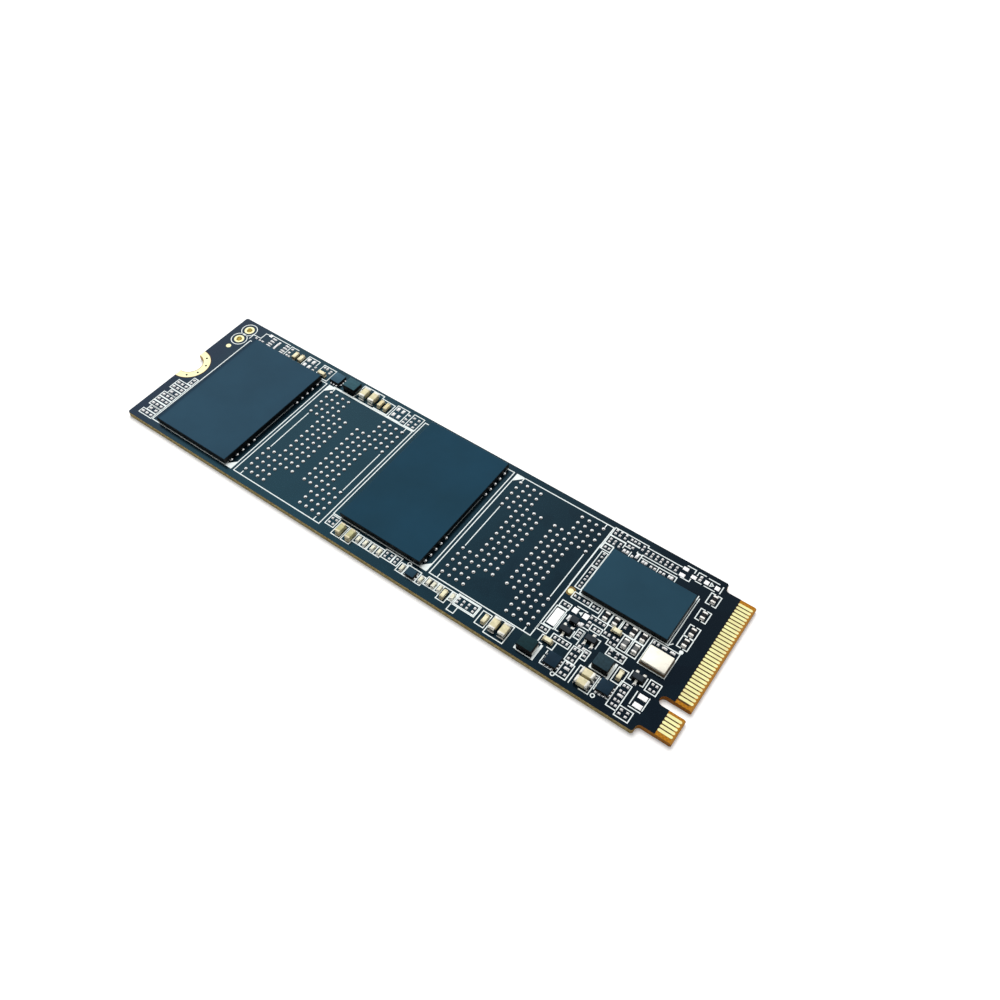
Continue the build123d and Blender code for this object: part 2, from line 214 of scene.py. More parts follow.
class Recipe(Graph):
    """One material in the making, whose patterns lie in millimetres of the object's own frame."""

    def __init__(self, name: str) -> None:
        """Starts a material with its shader and the place on the object.

        Args:
            name: name of the material.
        """
        self.material = bpy.data.materials.new(name)
        self.material.use_nodes = True
        super().__init__(self.material.node_tree)
        self.shader = self.nodes["Principled BSDF"]
        scale = self.node("ShaderNodeVectorMath", self.node("ShaderNodeTexCoord").outputs["Object"])
        scale.operation = "SCALE"
        scale.inputs["Scale"].default_value = 1 / MM
        self.place = scale.outputs[0]

    def coat(self, name: str, value: object) -> None:
        """Fills one input of the shader, by its Blender name."""
        self.feed(self.shader.inputs[name], value)

    def axes(self, vector: Socket | None = None) -> tuple[Socket, ...]:
        """Splits a vector, or else the place on the object, into its x, y and z."""
        return tuple(self.node("ShaderNodeSeparateXYZ", vector or self.place).outputs)

    def normal_up(self) -> Socket:
        """Gives how far the surface faces up or down, from 0 on a wall to 1 on a flat face."""
        normal = self.node("ShaderNodeNewGeometry").outputs["Normal"]
        return self.number("ABSOLUTE", self.axes(normal)[2])

    def step(self, value: Socket, edge: float, soft: float = 0.01) -> Socket:
        """Rises from 0 to 1 across an edge, or falls where the softness is negative."""
        return self.between(value, edge - soft, edge + soft)

    def wave(self, value: Socket, rate: float) -> Socket:
        """Gives the sine of a number times a rate."""
        return self.number("SINE", self.number("MULTIPLY", value, rate))

    def noise(self, size: float, detail: float = 2, stretch: Place = (1, 1, 1)) -> Socket:
        """Gives a soft random value.

        Args:
            size: about how large its spots are, in millimetres.
            detail: how many finer layers it has.
            stretch: how much denser it is along each axis.

        Returns:
            The socket that holds a value round one half.
        """
        mapping = self.node("ShaderNodeMapping", self.place)
        mapping.inputs["Scale"].default_value = stretch
        noise = self.node("ShaderNodeTexNoise", mapping.outputs[0])
        noise.inputs["Scale"].default_value = 1 / size
        noise.inputs["Detail"].default_value = detail
        return noise.outputs["Fac"]

    def spread(self, noise: Socket, start: float = 0, end: float = 1, reach: float = 0.2) -> Socket:
        """Maps noise onto start to end, which it meets that far below and above one half."""
        return self.between(noise, 0.5 - reach, 0.5 + reach, start, end)

    def blend(self, share: Socket, first: object, second: object) -> Socket:
        """Mixes two colours.

        Args:
            share: how much of the second colour, from 0 to 1.
            first: the first colour or its socket.
            second: the second colour or its socket.

        Returns:
            The socket that holds the mixed colour.
        """
        node = self.node("ShaderNodeMix", share)
        node.data_type = "RGBA"
        colours = [socket for socket in node.inputs if socket.type == "RGBA"]
        self.feed(colours[0], first)
        self.feed(colours[1], second)
        return next(socket for socket in node.outputs if socket.type == "RGBA")

    def relief(self, height: Socket, depth: float, strength: float) -> None:
        """Raises and sinks the look of the surface.

        Args:
            height: the height's socket, from 0 to 1.
            depth: how far 1 stands above 0, in millimetres.
            strength: how strongly it shows.
        """
        node = self.node("ShaderNodeBump")
        node.inputs["Strength"].default_value = strength
        node.inputs["Distance"].default_value = depth * MM
        self.feed(node.inputs["Height"], height)
        self.coat("Normal", node.outputs[0])


@dataclass(frozen=True)
class Finish:
    """A plain finish: a colour that drifts a little, its gloss, and a fine grain."""

    name: str
    colour: Colour
    roughness: float
    metallic: float = 0.0
    specular: float = 0.5
    drift: float = 0.12
    drift_size: float = 1.2
    grain_depth: float = 0.004
    grain_size: float = 0.06
    grain_strength: float = 0.3
    smoother: float = 0.07
    rougher: float = 0.07

    def material(self) -> bpy.types.Material:
        """Gives the one material of the finish, and builds it the first time.

        Returns:
            The material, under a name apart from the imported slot's.
        """
        name = self.name + "_look"
        if name not in bpy.data.materials:
            recipe = Recipe(name)
            recipe.coat("Metallic", self.metallic)
            recipe.coat("Specular IOR Level", self.specular)
            self.paint(recipe)
        return bpy.data.materials[name]

    def tints(self) -> tuple[Shade, Shade]:
        """Gives the darker and the paler tint that the colour drifts between."""
        return linear(tinted(self.colour, -self.drift)), linear(tinted(self.colour, self.drift))

    def tone(self, recipe: Recipe) -> Socket:
        """Mixes the two tints by soft noise."""
        return recipe.blend(recipe.spread(recipe.noise(self.drift_size)), *self.tints())

    def paint(self, recipe: Recipe) -> None:
        """Lays in the tone, with roughness and relief from a fine grain.

        Args:
            recipe: the material in the making.
        """
        recipe.coat("Base Color", self.tone(recipe))
        grain = recipe.noise(self.grain_size, GRAIN_DETAIL)
        low = max(LEAST_ROUGHNESS, self.roughness - self.smoother)
        recipe.coat("Roughness", recipe.spread(grain, low, self.roughness + self.rougher))
        recipe.relief(grain, self.grain_depth, self.grain_strength)


@dataclass(frozen=True)
class PackageFinish(Finish):
    """Moulding compound over a thin carrier board, told apart by height."""

    smoother: float = 0.05
    rougher: float = 0.08
    carrier: Colour = (14, 24, 26)
    carrier_top: float = 1.2
    # Near-black painted shade on the walls above the carrier.
    wall: Colour = (7, 9, 11)
    # Painted shade along one edge of the top; it is off unless a copy sets its places on the package.
    edge_shade: Colour = (12, 32, 50)
    edge_shade_from: float = -60.0
    edge_shade_to: float = -50.0
    steep: float = 0.5
    level: float = 0.9

    def tone(self, recipe: Recipe) -> Socket:
        """Lays a mould with faint flow clouds over the darker carrier, with walls in a near-black painted
        shade. Towards one edge the top carries a painted shade, between two places along the board.

        Args:
            recipe: the material in the making.

        Returns:
            The socket that holds the colour.
        """
        cloud = recipe.spread(recipe.noise(self.drift_size, GRAIN_DETAIL), reach=0.25)
        along, _, height = recipe.axes()
        # Painted shade towards one edge of the top.
        clear_of_edge_shade = recipe.between(along, self.edge_shade_from, self.edge_shade_to)
        mould = recipe.blend(clear_of_edge_shade, linear(self.edge_shade), recipe.blend(cloud, *self.tints()))
        # The walls above the carrier take the near-black painted shade.
        above = recipe.step(height, self.carrier_top)
        wall = recipe.blend(above, linear(self.carrier), linear(self.wall))
        return recipe.blend(recipe.between(recipe.normal_up(), self.steep, self.level), wall, mould)


@dataclass(frozen=True)
class BoardFinish(Finish):
    """Coated laminate: navy coating on the faces, layered glass on the sides, bare amber at the tip."""

    smoother: float = 0.06
    rougher: float = 0.06
    side_roughness: float = 0.75
    side_specular: float = 0.1
    steep: float = 0.3
    level: float = 0.6
    soft_edge: float = 0.02
    # Painted shade: the coating's colour falls to this darker one between the two places below, towards the
    # connector.
    shaded_coating: Colour = (3, 9, 13)
    sheen: Colour = (106, 187, 220)
    # Painted reflection: the gloss tint towards the connector, which the bare tip also takes as its own dull
    # gloss, and a painted tint at the mount end.
    shaded_and_bare_sheen: Colour = (70, 92, 118)
    painted_mount_sheen: Colour = (114, 150, 198)
    shade_from: float = -12.0
    shade_to: float = 34.0
    mount_from: float = -31.0
    mount_to: float = -39.0
    pour_size: float = 3.4
    pour_rim: float = 0.04
    pour_tone: float = 0.04
    pour_lift: float = 0.5
    laminate: Colour = (216, 200, 142)
    seam: Colour = (118, 96, 50)
    layer_rate: float = 31.0
    strand_size: float = 0.3
    strand_stretch: Place = (1, 1, 4)
    strand_share: float = 0.9
    bare: Colour = (172, 112, 16)
    bare_side: Colour = (156, 94, 16)
    bare_side_share: float = 0.85
    bare_side_place: float = 36.0
    bare_side_fade: float = 0.2
    weave_rate: float = 14.0
    weave_dark: float = -0.12
    weave_pale: float = 0.1
    # Painted highlight on the bevel.
    bevel: Colour = (192, 130, 26)
    bevel_place: float = 39.76
    # Painted shade between the contacts.
    gap: Colour = (84, 54, 10)
    contact_end: float = 39.56
    contact_fade: float = 0.2
    contact_reach: float = 9.4
    slot_place: float = -6.125
    slot_clear: float = 1.0

    def paint(self, recipe: Recipe) -> None:
        """Tells face from side by the way the surface looks, and coated from bare by the place along it.

        The coating is nearly black and takes its blue from its gloss, so it turns black beside a tall part.
        Along the board its colour carries a painted shade and its gloss tint a fading painted reflection,
        both darker towards the connector, with a painted reflection tint at the mount end.

        Args:
            recipe: the material in the making.
        """
        along = recipe.axes()[0]
        pour = recipe.spread(recipe.noise(self.pour_size, 1), reach=self.pour_rim)
        # Painted shade along the board towards the connector, with random tone from the copper pour mixed
        # in; it also darkens the gloss tint below.
        depth = recipe.between(along, self.shade_from, self.shade_to)
        depth = recipe.number("ADD", depth, recipe.between(pour, 0, 1, -self.pour_tone, self.pour_tone))
        cloud = recipe.spread(recipe.noise(self.drift_size, GRAIN_DETAIL))
        coating = recipe.blend(depth, recipe.blend(cloud, *self.tints()), linear(self.shaded_coating))
        tip = recipe.step(along, COATING_END, self.soft_edge)
        flat = recipe.between(recipe.normal_up(), self.steep, self.level)
        face = recipe.blend(tip, coating, self.bare_tip(recipe))
        recipe.coat("Base Color", recipe.blend(flat, self.side(recipe), face))
        # Painted reflection: the gloss tint changes by place, to a painted tint at the mount end and down to
        # a darker one towards the connector; on the bare tip that darker tint is the laminate's own gloss.
        mount = recipe.between(along, self.mount_from, self.mount_to)
        sheen = recipe.blend(mount, linear(self.sheen), linear(self.painted_mount_sheen))
        for share in (depth, tip):
            sheen = recipe.blend(share, sheen, linear(self.shaded_and_bare_sheen))
        recipe.coat("Specular Tint", sheen)
        recipe.coat("Specular IOR Level", recipe.between(flat, 0, 1, self.side_specular, self.specular))
        grain = recipe.noise(self.grain_size, GRAIN_DETAIL)
        gloss = recipe.spread(grain, self.roughness - self.smoother, self.roughness + self.rougher)
        dull = recipe.between(flat, 0, 1, self.side_roughness, 0)
        recipe.coat("Roughness", recipe.number("MAXIMUM", gloss, dull))
        lift = recipe.number("ADD", recipe.number("MULTIPLY", pour, self.pour_lift), grain)
        recipe.relief(lift, self.grain_depth, self.grain_strength)

    def bare_tip(self, recipe: Recipe) -> Socket:
        """Shows the weave of the bare tip, with a painted shade between the contacts and a painted highlight
        on the bevel.

        Args:
            recipe: the material in the making.

        Returns:
            The socket that holds the colour.
        """
        along, across, _ = recipe.axes()
        weave = [recipe.wave(place, self.weave_rate) for place in (along, across)]
        weave = recipe.between(recipe.number("MULTIPLY", *weave), -1, 1)
        dark, pale = (linear(tinted(self.bare, share)) for share in (self.weave_dark, self.weave_pale))
        bare = recipe.blend(weave, dark, pale)
        short = recipe.between(along, self.contact_end, self.contact_end - self.contact_fade)
        reach = recipe.number("ABSOLUTE", across)
        inside = recipe.between(reach, self.contact_reach + self.soft_edge, self.contact_reach)
        off_slot = recipe.number("ABSOLUTE", recipe.number("SUBTRACT", across, self.slot_place))
        clear = recipe.between(off_slot, self.slot_clear - self.soft_edge, self.slot_clear)
        inside = recipe.number("MULTIPLY", inside, clear)
        # Painted shade between the contacts.
        bare = recipe.blend(recipe.number("MULTIPLY", short, inside), bare, linear(self.gap))
        # Painted highlight on the bevel.
        return recipe.blend(recipe.step(along, self.bevel_place, self.soft_edge), bare, linear(self.bevel))

    def side(self, recipe: Recipe) -> Socket:
        """Shows the layers of glass cloth on the sides, and a browner laminate near the tip.

        Args:
            recipe: the material in the making.

        Returns:
            The socket that holds the colour.
        """
        along, _, height = recipe.axes()
        strands = recipe.noise(self.strand_size, GRAIN_DETAIL, self.strand_stretch)
        strands = recipe.spread(strands, -self.strand_share, self.strand_share)
        layer = recipe.number("ADD", recipe.wave(height, self.layer_rate), strands)
        side = recipe.blend(recipe.between(layer, -0.4, 1.2), linear(self.seam), linear(self.laminate))
        start, end = self.bare_side_place - self.bare_side_fade, self.bare_side_place + self.bare_side_fade
        share = recipe.between(along, start, end, 0, self.bare_side_share)
        return recipe.blend(share, side, linear(self.bare_side))


@dataclass(frozen=True)
class DropFinish(Finish):
    """Bright solder with a painted dark reflection at its foot, where it would mirror the board round it."""

    # Painted reflection: this dark colour at the foot stands for the board mirrored in the solder.
    foot: Colour = (26, 30, 34)
    foot_top: float = 0.84
    crown_from: float = 0.93

    def tone(self, recipe: Recipe) -> Socket:
        """Paints a dark reflection by height towards the foot."""
        share = recipe.between(recipe.axes()[2], self.foot_top, self.crown_from)
        return recipe.blend(share, linear(self.foot), linear(self.colour))


@dataclass(frozen=True)
class BatchFinish(Finish):
    """Ceramic from two batches: one stretch along the board has chips of another tone."""

    other: Colour = (226, 211, 166)
    stretch_from: float = -17.0
    stretch_to: float = -10.0
    worn: float = -0.5

    def tone(self, recipe: Recipe) -> Socket:
        """Picks the tone by the place along the board, and lets it drift a little to a darker one.

        Args:
            recipe: the material in the making.

        Returns:
            The socket that holds the colour.
        """
        along = recipe.axes()[0]
        after = recipe.step(along, self.stretch_from)
        before = recipe.step(along, self.stretch_to, -0.01)
        share = recipe.number("MULTIPLY", after, before)
        tone = recipe.blend(share, linear(self.colour), linear(self.other))
        patch = recipe.spread(recipe.noise(self.drift_size), 0, self.drift * 2)
        return recipe.blend(patch, tone, linear(tinted(self.colour, self.worn)))


@dataclass(frozen=True)
class FloorFinish(Finish):
    """White floor that keeps shadows and shows as white to the lens and in polished metal."""

    glow: float = 0.24
    calm_reach: float = 60.0
    rim_reach: float = 300.0

    def paint(self, recipe: Recipe) -> None:
        """Adds light of its own wherever the floor is seen straight on or in a reflection, more at its rim.

        Args:
            recipe: the material in the making.
        """
        recipe.coat("Base Color", linear(self.colour))
        recipe.coat("Roughness", self.roughness)
        recipe.coat("Emission Color", (1, 1, 1, 1))
        length = recipe.node("ShaderNodeVectorMath", recipe.place)
        length.operation = "LENGTH"
        glow = recipe.between(length.outputs["Value"], self.calm_reach, self.rim_reach, self.glow, 1.0)
        recipe.coat("Emission Strength", recipe.number("MULTIPLY", recipe.seen(), glow))


COATING = BoardFinish(
    "navy_coating", (5, 16, 22), 0.24, specular=1.0, drift=0.06, drift_size=5, grain_size=0.16,
    grain_strength=0.15,
)
PRINT_INK = Finish("white_print", (236, 244, 242), 0.62, drift=0.04, drift_size=0.5, grain_size=0.04)
GOLD = Finish("gold_plating", (255, 246, 178), 0.16, metallic=1, drift=0.05, grain_strength=0.12)
PALE_GOLD = Finish("pale_gold_plating", (252, 244, 194), 0.26, metallic=1, drift=0.04, grain_strength=0.12)
HOLE_GOLD = Finish("hole_gold", (236, 218, 140), 0.4, metallic=0.25, drift=0.1, drift_size=0.2)
NOTCH_GOLD = Finish("notch_gold", (168, 130, 60), 0.45, metallic=0.3, drift=0.1, drift_size=0.3)
SOLDER = Finish("bright_solder", (246, 247, 246), 0.12, metallic=1, drift=0.05, grain_strength=0.15)
DROP = DropFinish("solder_drops", (246, 247, 246), 0.12, metallic=1, grain_strength=0.15)
TIN = Finish("tin_plating", (236, 234, 224), 0.3, metallic=1, drift=0.06, grain_strength=0.25)
PAD_TIN = Finish("pad_tin", (250, 250, 248), 0.4, metallic=0.3, drift=0.04, drift_size=0.4)
MATT_TIN = Finish("matt_tin", (246, 244, 238), 0.45, metallic=0.25, drift=0.04, drift_size=0.4)
PACKAGE = PackageFinish("package_mould", (35, 65, 81), 0.42, specular=0.09, drift=0.07, drift_size=7)
# A lit and a shaded copy of the same mould for the two memory packages: painted light falling off along the
# board. The lit copy also has a painted shade at its left edge.
LIT_PACKAGE = replace(
    PACKAGE, name="lit_package_mould", colour=(38, 66, 83), edge_shade_from=-35.4, edge_shade_to=-34.8
)
SHADED_PACKAGE = replace(PACKAGE, name="shaded_package_mould", colour=(24, 57, 74))
# With carrier_top at 0, every wall of these chips takes the near-black painted shade.
CHIP = PackageFinish(
    "chip_mould", (22, 40, 54), 0.45, specular=0.1, drift=0.1, drift_size=1.5, carrier_top=0.0
)
SWITCH_CHIP = replace(CHIP, name="switch_mould", colour=(34, 58, 72))
PALE_CHIP = replace(CHIP, name="pale_chip_mould", colour=(54, 83, 99))
# The transistors' walls take a near-black painted shade too.
TRANSISTOR = replace(CHIP, name="transistor_mould", colour=(46, 52, 58), wall=(14, 16, 18), drift_size=1)
# With carrier_top at 0, every wall of the cores takes the near-black painted shade.
CORE = PackageFinish(
    "pressed_core", (40, 58, 66), 0.55, specular=0.1, drift=0.12, drift_size=0.3, grain_strength=0.5,
    carrier_top=0.0,
)
DARK_CORE = replace(CORE, name="dark_pressed_core", colour=(24, 46, 50))
PALE_CORE = replace(CORE, name="pale_pressed_core", colour=(53, 84, 93))
CAP = Finish("beige_ceramic", (218, 209, 172), 0.5, specular=0.3, drift=0.06, drift_size=0.4)
TAN = BatchFinish("pale_tan_ceramic", (240, 233, 198), 0.5, specular=0.3, drift=0.05, drift_size=1.1)
OLIVE = Finish("olive_ceramic", (192, 188, 140), 0.5, specular=0.3, drift=0.05, drift_size=0.4)
PALE = Finish("pale_ceramic", (232, 230, 208), 0.45, specular=0.3, drift=0.04, drift_size=0.4)
DULL_TIN = Finish("dull_tin", (216, 206, 172), 0.55, metallic=0.25, specular=0.3, drift=0.06, drift_size=0.4)
FILM = Finish("black_film", (12, 12, 14), 0.3, specular=0.3, drift=0.1, drift_size=0.3)
FERRITE = Finish("grey_ferrite", (96, 98, 98), 0.5, drift=0.12, drift_size=0.3)
CRYSTAL_BASE = Finish("brown_ceramic", (84, 66, 42), 0.5, drift=0.1, drift_size=0.6)
CRYSTAL_LID = Finish("nickel_lid", (252, 246, 230), 0.34, metallic=0.35, drift=0.03, drift_size=0.8)
BARE_LAMINATE = Finish("bare_laminate", (122, 100, 52), 0.6, drift=0.15, drift_size=0.2)
BROWN_LIP = Finish("brown_coating_lip", (96, 58, 28), 0.5, specular=0.1, drift=0.1, drift_size=0.4)
CARD = Finish("dark_card", (44, 46, 50), 0.9)
FLOOR = FloorFinish("white_floor", (238, 238, 238), 0.9)


@dataclass
class Surface:
    """A surface in millimetres: points, and quads that join them."""

    points: Array
    faces: Array

    @staticmethod
    def sheet(grid: Array, closed: bool = False) -> "Surface":
        """Joins a grid of points by quads.

        Args:
            grid: the points, as an array of rows, columns and 3.
            closed: whether the last column joins the first.

        Returns:
            The surface.
        """
        rows, columns = grid.shape[:2]
        index = np.arange(rows * columns).reshape(rows, columns)
        if closed:
            index = np.hstack([index, index[:, :1]])
        corners = [index[:-1, :-1], index[:-1, 1:], index[1:, 1:], index[1:, :-1]]
        return Surface(grid.reshape(-1, 3), np.stack(corners, -1).reshape(-1, 4))

    @staticmethod
    def joined(*surfaces: "Surface") -> "Surface":
        """Puts several surfaces into one by shifting the point numbers of each quad.

        Args:
            surfaces: the surfaces to put together.

        Returns:
            All of them as one surface.
        """
        starts = np.cumsum([0] + [len(surface.points) for surface in surfaces[:-1]])
        faces = [surface.faces + start for surface, start in zip(surfaces, starts)]
        return Surface(np.concatenate([surface.points for surface in surfaces]), np.concatenate(faces))

    def flipped(self) -> "Surface":
        """Turns the faces the other way."""
        return Surface(self.points, self.faces[:, ::-1])

    def copies(self, places: Array, turns: Array | float = 0.0) -> "Surface":
        """Repeats the surface, turned about Z and then moved: p' = R(turn) p + place.

        Args:
            places: one row of x, y and z for each copy.
            turns: angle in radians for each copy, or one for all.

        Returns:
            All the copies as one surface.
        """
        places = np.asarray(places, float).reshape(-1, 3)
        angle = np.broadcast_to(np.asarray(turns, float), (len(places),))[:, None]
        x, y, z = self.points.T[:, None, :]
        turned = np.stack([
            x * np.cos(angle) - y * np.sin(angle),
            x * np.sin(angle) + y * np.cos(angle),
            np.broadcast_to(z, (len(places), len(self.points))),
        ], -1)
        points = turned + places[:, None, :]
        faces = self.faces[None] + (np.arange(len(places)) * len(self.points))[:, None, None]
        return Surface(points.reshape(-1, 3), faces.reshape(-1, 4))


def revolved(profile: list[Point] | Array, columns: int) -> Surface:
    """Turns a profile of radius and height about Z: (r cos a, r sin a, h) over the angle a.

    Args:
        profile: radius and height, from the outer foot to the end of the inner line.
        columns: points round the circle.

    Returns:
        The turned surface.
    """
    radius, height = np.array(profile, float).T[:, :, None]
    angle = np.arange(columns) * 2 * math.pi / columns
    grid = np.broadcast_arrays(radius * np.cos(angle), radius * np.sin(angle), height)
    return Surface.sheet(np.stack(grid, -1), True)


def dome(radius: float, height: float) -> Surface:
    """A drop of solder, open at its foot: radius r cos t and height h sin t, from the foot to the crown."""
    rise = np.linspace(0, QUARTER, ARC_POINTS)
    return revolved(np.column_stack([radius * np.cos(rise), height * np.sin(rise)]), columns=12)


def barrel(radius: float, height: float) -> Surface:
    """A squeezed ball: radius r (1 + bulge sin pi t) at height h t.

    Args:
        radius: radius at the foot and the head.
        height: height of the ball.

    Returns:
        The ball, open where it meets the board and the package.
    """
    share = np.linspace(0, 1, ARC_POINTS)
    swell = 1 + JOINT_BULGE * np.sin(math.pi * share)
    return revolved(np.column_stack([radius * swell, height * share]), columns=10)


def pillow(length: float, width: float, height: float) -> Surface:
    """A low pillow of solder: height h (1 - u^4)(1 - v^4) over a rectangle, u and v from -1 to 1.

    Args:
        length: size along X.
        width: size along Y.
        height: height in the middle.

    Returns:
        The pillow, open where it stands on the board.
    """
    side = np.sin(np.linspace(-QUARTER, QUARTER, 6))
    v, u = np.meshgrid(side, side, indexing="ij")
    return Surface.sheet(np.stack([u * length / 2, v * width / 2, height * (1 - u**4) * (1 - v**4)], -1))


def round_ended(length: float, width: float, height: float) -> Surface:
    """A strip with half-round ends along X: half width r cos t at r sin t beyond the straight part.

    Args:
        length: size along X over both ends.
        width: size along Y, twice the radius r of the ends.
        height: thickness.

    Returns:
        The strip, open underneath.
    """
    radius = width / 2
    bend = np.linspace(0, QUARTER, ARC_POINTS)
    bend = np.concatenate([-bend[::-1], bend])
    x = radius * np.sin(bend) + np.repeat([-1, 1], ARC_POINTS) * (length / 2 - radius)
    half = radius * np.cos(bend)
    ring = [np.stack([x, side * half, np.full(len(x), level)], -1)
            for side, level in ((1, 0.0), (1, height), (-1, height), (-1, 0.0))]
    return Surface.sheet(np.stack(ring, 1)).flipped()


def rounded_block(length: float, width: float, height: float, radius: float, taper: float = 0.0) -> Surface:
    """A block with rounded edges, standing on its base.

    A ball of the edge radius is pulled apart at its eight corners: the point at longitude a and latitude b
    is r (cos b cos a, cos b sin a, sin b) plus the corner of the eighth that it lies in. A taper draws
    the sides in towards the top.

    Args:
        length: size along X.
        width: size along Y.
        height: size along Z.
        radius: radius of the edges.
        taper: share of the plan size that is lost at the top.

    Returns:
        The closed surface.
    """
    steps = 3
    quarter = np.linspace(0, QUARTER, steps)
    around = np.concatenate([quarter + turn * QUARTER for turn in range(4)])
    up = np.concatenate([quarter - QUARTER, quarter])
    side_x = np.repeat([1, -1, -1, 1], steps) * (length / 2 - radius)
    side_y = np.repeat([1, 1, -1, -1], steps) * (width / 2 - radius)
    side_z = np.repeat([-1, 1], steps) * (height / 2 - radius)
    b, a = np.meshgrid(up, around, indexing="ij")
    z = radius * np.sin(b) + side_z[:, None] + height / 2
    draw = 1 - taper * z / height
    x = (radius * np.cos(b) * np.cos(a) + side_x) * draw
    y = (radius * np.cos(b) * np.sin(a) + side_y) * draw
    ball = Surface.sheet(np.stack([x, y, z], -1), True)
    base = np.arange(4) * steps
    top = base + len(ball.points) - len(around)
    return Surface(ball.points, np.concatenate([ball.faces, [top], [base[[0, 3, 2, 1]]]]))


def fillet(reach: float, rise: float, width: float) -> Surface:
    """A solder fillet against a wall at x = 0, carried along Y.

    The hollow profile x = reach (1 - sin t), z = rise (1 - cos t) shrinks by 1 - 0.75 v^6 towards both
    ends v.

    Args:
        reach: how far the foot runs from the wall.
        rise: how high it climbs the wall.
        width: length along Y.

    Returns:
        The fillet, open towards the wall and the board.
    """
    v, t = np.meshgrid(np.linspace(-1, 1, 7), np.linspace(0, QUARTER, ARC_POINTS), indexing="ij")
    share = 1 - 0.75 * v**6
    grid = [reach * (1 - np.sin(t)) * share, v * width / 2, rise * (1 - np.cos(t)) * share]
    return Surface.sheet(np.stack(grid, -1)).flipped()


def bent_lead(reach: float, foot: float, root: float, thickness: float, width: float) -> Surface:
    """A flat lead that leaves a wall at y = 0, sinks in an S and ends in a foot on the board.

    The middle line sinks by the smooth step s^2 (3 - 2 s) and a rectangle is carried along it.

    Args:
        reach: how far the foot's end stands from the wall.
        foot: length of the flat foot.
        root: height of the lead's upper face at the wall.
        thickness: thickness of the sheet.
        width: width of the lead.

    Returns:
        The surface, open where it leaves the wall.
    """
    straight = 0.04
    y = np.concatenate([[0.0], np.linspace(straight, reach - foot, 8), [reach]])
    s = np.clip((y - straight) / (reach - foot - straight), 0, 1)
    middle = (root - thickness / 2) - (root - thickness) * s**2 * (3 - 2 * s)
    slope = np.gradient(middle, y)
    normal = np.stack([-slope, np.ones(len(y))], -1) / np.sqrt(1 + slope**2)[:, None] * thickness / 2
    line = np.stack([y, middle], -1)
    half = np.full(len(y), width / 2)
    ring = [np.column_stack([side * half, line + face * normal])
            for side, face in ((1, -1), (1, 1), (-1, 1), (-1, -1))]
    sleeve = Surface.sheet(np.stack(ring, 1), True)
    end = np.arange(4) + len(sleeve.points) - 4
    return Surface(sleeve.points, np.concatenate([sleeve.faces, [end]])).flipped()


def strokes(shape: Stroke) -> list[Line]:
    """Gives the strokes of a printed box or of an open printed path.

    Args:
        shape: left, low, right and high side of a box, or the points of a path.

    Returns:
        Start and end of each stroke, x, y, x, y.
    """
    if np.ndim(shape) == 1:
        left, low, right, high = shape
        shape = ((left, low), (right, low), (right, high), (left, high), (left, low))
    return [(*start, *stop) for start, stop in zip(shape, shape[1:])]


def brackets(left: float, low: float, right: float, high: float, gap: float = 0.34) -> tuple[Stroke, ...]:
    """Gives the left and right path of a printed box with a gap in the middle of its far and near sides."""
    sides = ((left, (left + right - gap) / 2), (right, (left + right + gap) / 2))
    return tuple(((inner, low), (side, low), (side, high), (inner, high)) for side, inner in sides)


def printed_lines(lines: list[Line], width: float, rise: float = INK_RISE) -> Surface:
    """Straight printed strokes: a flat ridge carried along each line, square at its ends.

    Args:
        lines: start and end of each stroke, x, y, x, y.
        width: width of the stroke.
        rise: thickness of the ink.

    Returns:
        All strokes as one surface.
    """
    ends = np.array(lines, float).reshape(-1, 2, 2)
    run = ends[:, 1] - ends[:, 0]
    run = run / np.linalg.norm(run, axis=1, keepdims=True) * width / 2
    off = np.stack([-run[:, 1], run[:, 0]], -1)
    start, stop = ends[:, 0] - run, ends[:, 1] + run
    return raised(np.stack([start - off, stop - off, stop + off, start + off], 1), rise)


def printed_ring(radius: float, width: float, columns: int) -> Surface:
    """A printed ring on the board's face, a flat ridge turned about Z."""
    inner, outer, top = radius - width / 2, radius + width / 2, BOARD_TOP + INK_RISE
    return revolved([(inner, BOARD_TOP), (inner, top), (outer, top), (outer, BOARD_TOP)], columns).flipped()


def raised(plan: Array, rise: float) -> Surface:
    """Lifts flat four-sided outlines into thin plates: one top face and four sides each.

    Neighbouring plates differ in height by a thousandth of a millimetre, so crossing strokes never share
    a plane.

    Args:
        plan: four corners of each outline, as an array of n, 4 and 2.
        rise: thickness of the plates.

    Returns:
        All plates as one surface.
    """
    count, step, steps = len(plan), 0.001, 7
    levels = BOARD_TOP + rise + step * (np.arange(count) % steps)
    low = np.concatenate([plan, np.full((count, 4, 1), BOARD_TOP)], -1)
    high = np.concatenate([plan, np.broadcast_to(levels[:, None, None], (count, 4, 1))], -1)
    points = np.concatenate([low, high], 1).reshape(-1, 3)
    faces = np.array([[4, 5, 6, 7], [0, 1, 5, 4], [1, 2, 6, 5], [2, 3, 7, 6], [3, 0, 4, 7]])
    return Surface(points, (faces[None] + 8 * np.arange(count)[:, None, None]).reshape(-1, 4))


